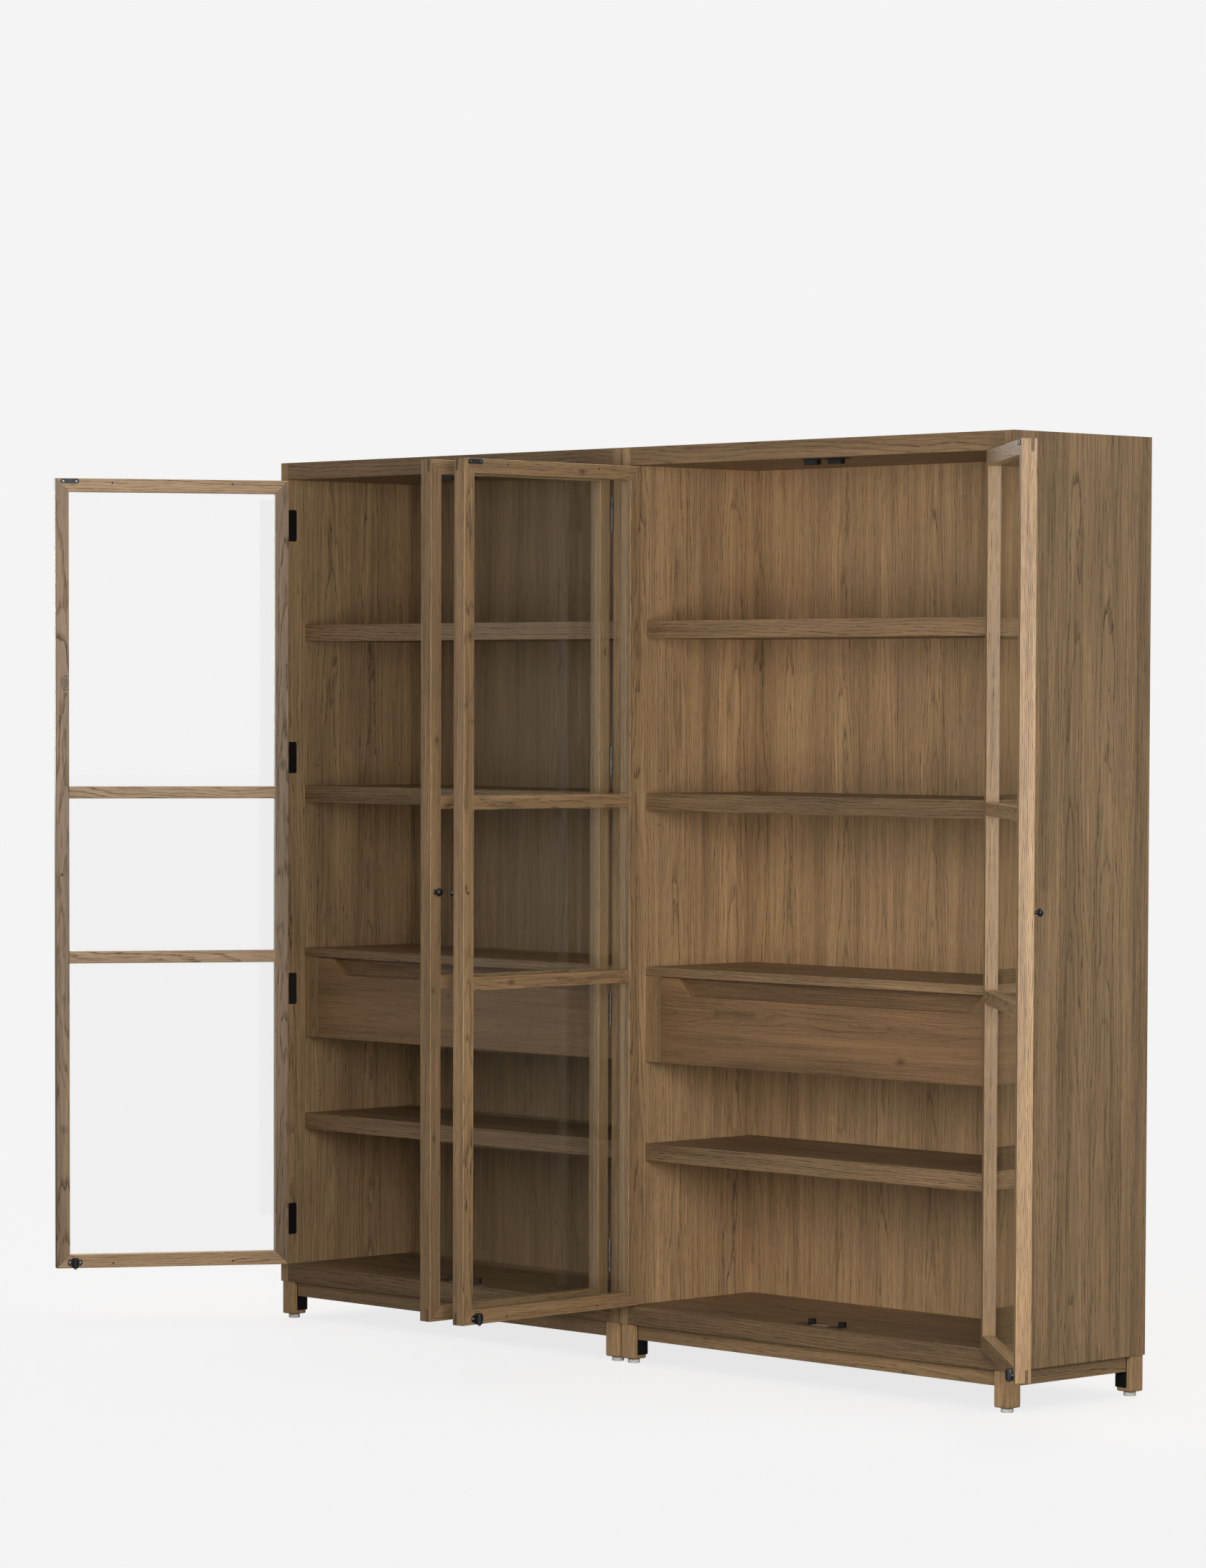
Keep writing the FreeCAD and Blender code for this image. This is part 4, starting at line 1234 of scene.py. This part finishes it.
# ---- doors
@dataclass
class Door:
    """One glazed door, drawn shut in its own axes: x from the hinge pin, y inwards, z up.

    Args:
        number: 1 to 4 from the left.
        tone, rail_sheen_tone: how much lighter (+) or darker (-) the frame is, and its rails and bars besides,
            the latter a painted sheen of the key lamp.
        edge_highlight: painted highlight on the frame's long edges.
        edge: from the hinge pin to the door's hinged edge.
        face: from the pin to the door's outer face.
        width, member, thickness: sizes of the frame.
        bottom, top: height of its edges.
        muntins: heights of the two glazing bars.
        muntin: height of one bar.
        key, key_thickness, key_in: side and thickness of a corner key, and how far it lies behind the face.
        hinge_length, hinge_pitch: of the four hinges.
        leaf, leaf_thickness, leaf_corner: width and thickness of a hinge leaf, and radius of its corners.
        knuckle: radius of the barrel.
        hinge_screw, leaf_screws: size of a screw head, and its places as shares of a leaf's length and width.
        rail_hole, rail_hole_in, rail_hole_pitch: radius of a rail's bores, and how far in and apart they are.
        knob_height, knob_in: where the knob is, from the floor and from the free edge.
        knob_radius, knob_reach: size of its cap and its length.
        rose, waist: radius of its foot and of its neck.
        knob_screw, strike_head, latch_head: a screw's seat above the inner face, its radius and its height.
        strike, latch: length, width and thickness of the strike plate and of the latch's ears.
        strike_corner, latch_corner: radius of their corners.
        strike_drop, latch_rise: the strike's middle below the top edge, the latch's end above the bottom one.
        strike_from_edge, latch_from_edge: their middles from the hinged edge.
        strike_screw, latch_screw: their screws from their middles.
        latch_body, latch_barrel, latch_out: the latch's height, and its barrel's radius and axis from the face.
    """

    number: int
    tone: float = 0.0
    rail_sheen_tone: float = 0.0
    edge_highlight: float = 6.0
    edge: float = 1.0
    face: float = 4.5
    width: float = 578.5
    member: float = 33.0
    thickness: float = 33.0
    bottom: float = 140.0
    top: float = 2088.5
    muntins: tuple = (909.5, 1316.5)
    muntin: float = 29.5
    key: float = 28.0
    key_thickness: float = 7.0
    key_in: float = 6.0
    hinge_length: float = 78.0
    hinge_pitch: float = 576.5
    leaf: float = 28.0
    leaf_thickness: float = 0.8
    leaf_corner: float = 4.5
    knuckle: float = 3.9
    hinge_screw: tuple = (3.0, 0.16)
    leaf_screws: tuple = ((0.2, 0.68), (0.5, 0.35), (0.8, 0.68))
    rail_hole: float = 2.2
    rail_hole_in: float = 10.5
    rail_hole_pitch: float = 298.0
    knob_height: float = 1114.5
    knob_in: float = 14.5
    knob_radius: float = 9.2
    knob_reach: float = 21.0
    rose: float = 6.0
    waist: float = 3.6
    knob_screw: tuple = (-1.0, 4.0, 1.6)
    strike_head: tuple = (1.2, 2.8, 0.5)
    latch_head: tuple = (2.0, 3.0, 1.3)
    strike: tuple = (46.0, 12.0, 1.6)
    strike_corner: float = 5.99
    strike_drop: float = 6.8
    strike_from_edge: float = 543.0
    strike_screw: float = 16.0
    latch: tuple = (37.0, 17.0, 2.0)
    latch_corner: float = 8.49
    latch_rise: float = 1.5
    latch_from_edge: float = 533.0
    latch_screw: float = 13.0
    latch_body: float = 24.0
    latch_barrel: float = 7.5
    latch_out: float = 7.5

    def __post_init__(self) -> None:
        """Find the door's own axes from its hinge."""
        self.body = f"door_{self.number}"
        joint = next(j for j in frame["joints"] if j["child"] == self.body)
        self.hand = -joint["axis"][2]
        self.pin = np.array([joint["pos_m"][0], joint["pos_m"][1], 0.0]) / MM
        opening = -joint["range_deg"][0]
        self.place = self.axes_at(opening)
        self.shut = self.axes_at(0.0)
        self.back = self.face + self.thickness
        self.free = self.edge + self.width

    def axes_at(self, opening: float) -> Placement:
        """The door's own axes at an opening.

        Args:
            opening: in degrees.

        Returns:
            Where the door lies.
        """
        angle = math.radians(-self.hand * opening)
        outward = np.array([self.hand * math.cos(angle), self.hand * math.sin(angle), 0.0])
        inward = np.array([-math.sin(angle), math.cos(angle), 0.0])
        return Placement(self.pin, np.array([outward, inward, Z]))

    def build(self) -> None:
        """Make the frame, its keys and bores, and the hardware."""
        self.frame()
        self.keys_and_bores()
        self.knob()
        self.hinges()
        self.catches()
        dress(f"{self.body}_glass", GLASS)
        dress(f"{self.body}_latch_plunger", STEEL)

    def frame(self) -> None:
        """Four mitred members and two glazing bars."""
        tall, f, t = self.top - self.bottom, self.member, self.thickness
        # The rails and bars add a painted sheen of the key lamp to the frame's tone.
        rails = self.tone + self.rail_sheen_tone
        edges = {"arris": 1.5, "edge_highlight": self.edge_highlight}
        stile = Board(tall, f, t, mitre=True, tone=self.tone, **edges)
        rail = Board(self.width, f, t, mitre=True, tone=rails, **edges)
        bar = Board(self.width - 2 * f, self.muntin, t, start_round=0.2, end_round=0.2, tone=rails, **edges)
        patches = [
            stile.patch(self.place.inside((self.edge, self.face, self.bottom), Z, X, Y)),
            stile.patch(self.place.inside((self.free, self.face, self.bottom), Z, -X, Y)),
            rail.patch(self.place.inside((self.edge, self.face, self.bottom), X, Z, Y)),
            rail.patch(self.place.inside((self.edge, self.face, self.top), X, -Z, Y)),
        ]
        for middle in self.muntins:
            corner = (self.edge + f, self.face, middle - self.muntin / 2)
            patches.append(bar.patch(self.place.inside(corner, X, Z, Y)))
        make_piece(f"{self.body}_oak_frame", patches, SOLID, self.body, (f"{self.body}_frame",))

    def keys_and_bores(self) -> None:
        """Corner keys that end flush with the edges, and the small bores in the rails."""
        size, proud = self.key, 0.15
        key = Board(size + proud, size + proud, self.key_thickness, arris=0.2, start_round=0.2, end_round=0.2)
        front = self.face + self.key_in
        patches = []
        for x, along in ((self.edge - proud, X), (self.free + proud, -X)):
            for z, across in ((self.bottom - proud, Z), (self.top + proud, -Z)):
                patches.append(key.patch(self.place.inside((x, front, z), along, across, Y)))
        make_piece(f"{self.body}_corner_keys", patches, KEY_OAK, self.body)
        centre = (self.edge + self.free) / 2
        bores = []
        depth = np.array([-0.5, 0.06, 0.02])
        radius = self.rail_hole * np.array([1.0, 1.0, 0.6])
        for x in (centre - self.rail_hole_pitch / 2, centre + self.rail_hole_pitch / 2):
            for z in (self.bottom + self.rail_hole_in, self.top - self.rail_hole_in):
                bores.append(lathe(depth, radius, self.place.inside((x, self.back, z), Y, X, Z), 16))
        make_piece(f"{self.body}_rail_bores", bores, HOLE, self.body)

    def screw(self, x: float, z: float, size: tuple) -> Patch:
        """A screw head on the inner face, with its seat's height, its radius and its own height in size."""
        out, radius, height = size
        return screw_head(radius, height, self.place.inside((x, self.back + out, z), Y, X, Z))

    def knob(self) -> None:
        """A mushroom knob: a rose, a waist and a domed cap.

        The waist widens into the cap as a smooth step of the distance from the face, and past the rim the
        radius follows a quarter ellipse to the crown.
        """
        s = np.linspace(0, 1, 25)
        rose_end, waist_end, rim = 0.13, 0.30, 0.64
        rose = self.rose * np.exp(-((s / rose_end) ** 4))
        rise = np.clip((s - waist_end) / (rim - waist_end), 0, 1)
        waist = self.waist + (self.knob_radius - self.waist) * rise**2 * (3 - 2 * rise)
        crown = np.sqrt(np.clip(1 - ((s - rim) / (1 - rim)) ** 2, 0.001, 1))
        radius = np.where(s <= rim, np.maximum(rose, waist), self.knob_radius * crown)
        x = self.free - self.knob_in
        place = self.place.inside((x, self.face, self.knob_height), -Y, X, Z)
        screw = self.screw(x, self.knob_height, self.knob_screw)
        patches = [lathe(s * self.knob_reach, radius, place, 32), screw]
        make_piece(f"{self.body}_turned_knob", patches, BLACK, self.body, (f"{self.body}_knob",), smooth=35)

    def hinge_levels(self) -> list:
        """Lower end of each of the four hinges."""
        middle = (self.bottom + self.top) / 2
        return [middle + self.hinge_pitch * step - self.hinge_length / 2 for step in (-1.5, -0.5, 0.5, 1.5)]

    def barrel_profile(self) -> tuple[np.ndarray, np.ndarray]:
        """Profile of a hinge barrel: five knuckles with a groove at each joint.

        Returns:
            Distances along it and the radius at each.
        """
        knuckles, groove, land = 5, 0.5, 0.86
        length = self.hinge_length
        s = np.linspace(0, 1, 41)
        joints = np.abs(((s * knuckles) % 1) - 0.5) * 2
        radius = (self.knuckle + 0.05) - groove * np.clip((joints - land) / (1 - land), 0, 1)
        along = np.concatenate(([-2.0, -1.4], s * length, [length + 1.4, length + 2.0]))
        return along, np.concatenate(([1.2, 2.6], radius, [2.6, 1.2]))

    def hinges(self) -> None:
        """Thin leaves on the door and on the cabinet, and a turned barrel round each pin."""
        leaves, screws = ([], []), ([], [])
        barrels = []
        thin = self.leaf_thickness
        leaf = (self.hinge_length, self.leaf, thin)
        root = self.knuckle + 0.3
        profile = self.barrel_profile()
        # the door's own leaf faces the cabinet's when the door is shut
        sides = ((self.place, 1), (self.shut, -1))
        for low in self.hinge_levels():
            middle = (root + self.leaf / 2, low + self.hinge_length / 2)
            barrels.append(lathe(*profile, self.shut.inside((0, 0, low), Z, X, Y), 16))
            for (place, sign), plates, heads in zip(sides, leaves, screws):
                seat = place.inside((sign * self.edge, *middle), Z, Y, -sign * X)
                plates.append(plate(leaf, seat, self.leaf_corner))
                for share, out in self.leaf_screws:
                    z = low + share * self.hinge_length
                    head = (sign * (self.edge - thin), root + self.leaf * out, z)
                    heads.append(screw_head(*self.hinge_screw, place.inside(head, -sign * X, Y, Z)))
        nodes = (f"{self.body}_fittings",)
        fixed = ("fixed_hinge_leaves",) if self.number == 1 else ()
        make_piece(f"{self.body}_hinge_leaves", leaves[0] + screws[0], BLACK, self.body, nodes)
        make_piece(f"{self.body}_cabinet_leaves", leaves[1] + screws[1], BLACK, BODY, fixed)
        make_piece(f"{self.body}_hinge_barrels", barrels, DARK_STEEL, BODY, smooth=30)

    def catches(self) -> None:
        """Strike plate and spring latch on the inner face."""
        rim = 0.4
        x, z = self.edge + self.strike_from_edge, self.top - self.strike_drop
        seat = self.place.inside((x, self.back, z), X, Z, Y)
        strike = plate(self.strike, seat, self.strike_corner, rim)
        make_piece(f"{self.body}_strike_plate", [strike], PLATE, self.body, smooth=30)
        steps = (-self.strike_screw, self.strike_screw)
        heads = [self.screw(x + step, z, self.strike_head) for step in steps]
        x, low = self.edge + self.latch_from_edge, self.bottom + self.latch_rise
        middle = low + self.latch_body / 2
        ears = plate(self.latch, self.place.inside((x, self.back, middle), X, Z, Y), self.latch_corner, rim)
        rounding, squash = 1.6, 1.5
        s = np.linspace(0, self.latch_body, 13)
        end = np.clip(np.minimum(s, self.latch_body - s) / rounding, 0, 1)
        radius = self.latch_barrel - squash + squash * np.sqrt(1 - (1 - end) ** 2)
        barrel = lathe(s, radius, self.place.inside((x, self.back + self.latch_out, low), Z, X, Y))
        size = (self.latch_body, 2 * self.latch_barrel, self.latch_out)
        web = Board(*size, arris=0.5, start_round=0.5, end_round=0.5)
        saddle = web.patch(self.place.inside((x - self.latch_barrel, self.back, low), Z, X, Y))
        make_piece(f"{self.body}_latch_housing", [ears, barrel, saddle], BLACK, self.body, smooth=30)
        steps = (-self.latch_screw, self.latch_screw)
        heads += [self.screw(x + step, middle, self.latch_head) for step in steps]
        make_piece(f"{self.body}_fitting_screws", heads, STEEL, self.body)


# ---- studio
@dataclass(frozen=True)
class Lamp:
    """A square soft box.

    Args:
        name: name of the lamp.
        place, aim: where it hangs and the point that it faces, in metres.
        size: its side, in metres.
        power: in watts.
    """

    name: str
    place: tuple
    aim: tuple
    size: float
    power: float

    def hang(self) -> bpy.types.Object:
        """Make the lamp, unseen by the lens itself.

        Returns:
            The lamp.
        """
        data = bpy.data.lights.new(self.name, "AREA")
        data.shape = "SQUARE"
        data.size = self.size
        data.energy = self.power
        lamp = into_scene(self.name, data)
        lamp.visible_camera = False
        lamp.location = self.place
        lamp.rotation_euler = (Vector(self.aim) - Vector(self.place)).to_track_quat("-Z", "Y").to_euler()
        return lamp


@dataclass
class Studio:
    """Floor, sky, lamps and camera.

    Args:
        floor_radius: of the pale floor, in metres.
        pale: colour of the floor and of what is seen past it.
        sky, mirrored: strength of the sky as light, and as it shows in gloss.
        lamps: a key lamp in front on the right, and weak ones round the other sides.
        camera_place: the lens, in metres.
        yaw, pitch, roll: the camera's turn left, its dip and its lean, in degrees.
        lens: focal length in millimetres.
        shift: upward shift of the frame, as a share of its longer side.
        sensor: width of the sensor, in millimetres.
        reach: how far the camera sees, in metres.
    """

    floor_radius: float = 90.0
    pale: str = "#F4F4F4"
    sky: float = 0.22
    mirrored: float = 0.60
    lamps: tuple = (
        Lamp("key_lamp", (3.2, -2.7, 1.5), (0.5, 0.2, 1.1), 2.2, 118.0),
        Lamp("side_lamp", (6.0, 0.5, 2.2), (0.8, 0.2, 1.1), 2.0, 14.0),
        Lamp("left_lamp", (-5.0, 1.2, 2.2), (-1.2, 0.2, 1.1), 2.0, 70.0),
        Lamp("back_lamp", (-1.5, 5.0, 2.6), (0.0, 0.4, 1.1), 2.5, 130.0),
        Lamp("top_lamp", (0.0, 1.0, 4.8), (0.0, 0.3, 2.1), 2.5, 70.0),
    )
    camera_place: tuple = (8.791391, -8.482646, 1.554401)
    yaw: float = 46.201
    pitch: float = 2.702
    roll: float = 0.174
    lens: float = 121.283
    shift: float = 0.10382
    sensor: float = 36.0
    reach: float = 500.0

    def build(self) -> None:
        """Set up everything that isn't the object."""
        bpy.context.scene.view_settings.view_transform = "Standard"
        self.floor()
        self.world()
        self.light()
        self.camera()

    def floor(self) -> None:
        """A flat disc: points at radius r and angle t."""
        turn = np.linspace(0, 2 * np.pi, 96, endpoint=False)
        rim = np.stack((np.cos(turn), np.sin(turn), np.zeros_like(turn)), -1) * self.floor_radius
        mesh = bpy.data.meshes.new("studio_floor")
        mesh.from_pydata(rim.tolist(), [], [list(range(len(rim)))])
        mesh.materials.append(Paper(pale=self.pale, sky=self.sky).material())
        self.floor_object = into_scene("studio_floor", mesh)

    def world(self) -> None:
        """A pale sky, seen at the floor's own brightness and lighting the object more gently."""
        world = bpy.data.worlds.new("studio_sky")
        bpy.context.scene.world = world
        world.use_nodes = True
        tree = world.node_tree
        tree.nodes.clear()
        seen = seen_directly(tree)
        glossy = add(tree, "LightPath").outputs["Is Glossy Ray"]
        strength = maths(tree, "MULTIPLY_ADD", glossy, self.mirrored - self.sky, self.sky)
        soft = add(tree, "Background", {}, {"Color": (1.0, 1.0, 1.0, 1.0), "Strength": strength})
        plain = add(tree, "Background", {}, {"Color": linear(self.pale), "Strength": 1.0})
        mix = add(tree, "MixShader", {}, {0: seen, 1: soft.outputs[0], 2: plain.outputs[0]})
        add(tree, "OutputWorld", {}, {"Surface": mix.outputs[0]})

    def light(self) -> None:
        """Hang the lamps, flagged so that they light the object's opaque pieces and nothing else."""
        flagged = bpy.data.collections.new("lit_by_lamps")
        for thing in bpy.context.scene.objects:
            if thing.type == "MESH" and thing is not self.floor_object and not thing.name.endswith("_glass"):
                flagged.objects.link(thing)
        for lamp in self.lamps:
            lamp.hang().light_linking.receiver_collection = flagged

    def camera(self) -> None:
        """A long lens at eye height, in front on the right, its frame raised a little."""
        data = bpy.data.cameras.new("camera")
        data.lens = self.lens
        data.sensor_width = self.sensor
        data.shift_y = self.shift
        data.clip_end = self.reach
        camera = into_scene("camera", data)
        yaw, pitch, roll = (math.radians(value) for value in (self.yaw, self.pitch, self.roll))
        ahead = Vector((-math.sin(yaw) * math.cos(pitch), math.cos(yaw) * math.cos(pitch), -math.sin(pitch)))
        right = Vector((math.cos(yaw), math.sin(yaw), 0.0))
        up = right.cross(ahead)
        across = right * math.cos(roll) + up * math.sin(roll)
        upward = up * math.cos(roll) - right * math.sin(roll)
        turned = Matrix((across, upward, -ahead)).transposed().to_4x4()
        camera.matrix_world = Matrix.Translation(Vector(self.camera_place)) @ turned
        bpy.context.scene.camera = camera


def main() -> None:
    """Build every sub-assembly in order, then the studio."""
    logging.basicConfig(level=logging.INFO, format="%(message)s")
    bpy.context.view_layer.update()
    # The left back is darkened as painted shade, far from the key lamp, and the right back is lightened as
    # painted light.
    Cabinet("left", back_light_tone=-3.2).build()
    Cabinet("right", back_light_tone=1.3, side_shifts=(2.21, 2.98)).build()
    Base().build()
    # Door 4 is lightened as painted light, standing nearest the key lamp; door 1's rails carry a painted sheen
    # of that lamp.
    for door in (Door(1, tone=0.0, rail_sheen_tone=6.0), Door(2, tone=0.3), Door(3, tone=0.3), Door(4, tone=1.8)):
        door.build()
    dress("drawer_runners", RUNNER_OAK)
    dress("shelf_pins", STEEL)
    dress("top_catches", BLACK)
    dress("floor_keepers", BLACK)
    Studio().build()


if __name__ == "__main__":
    main()
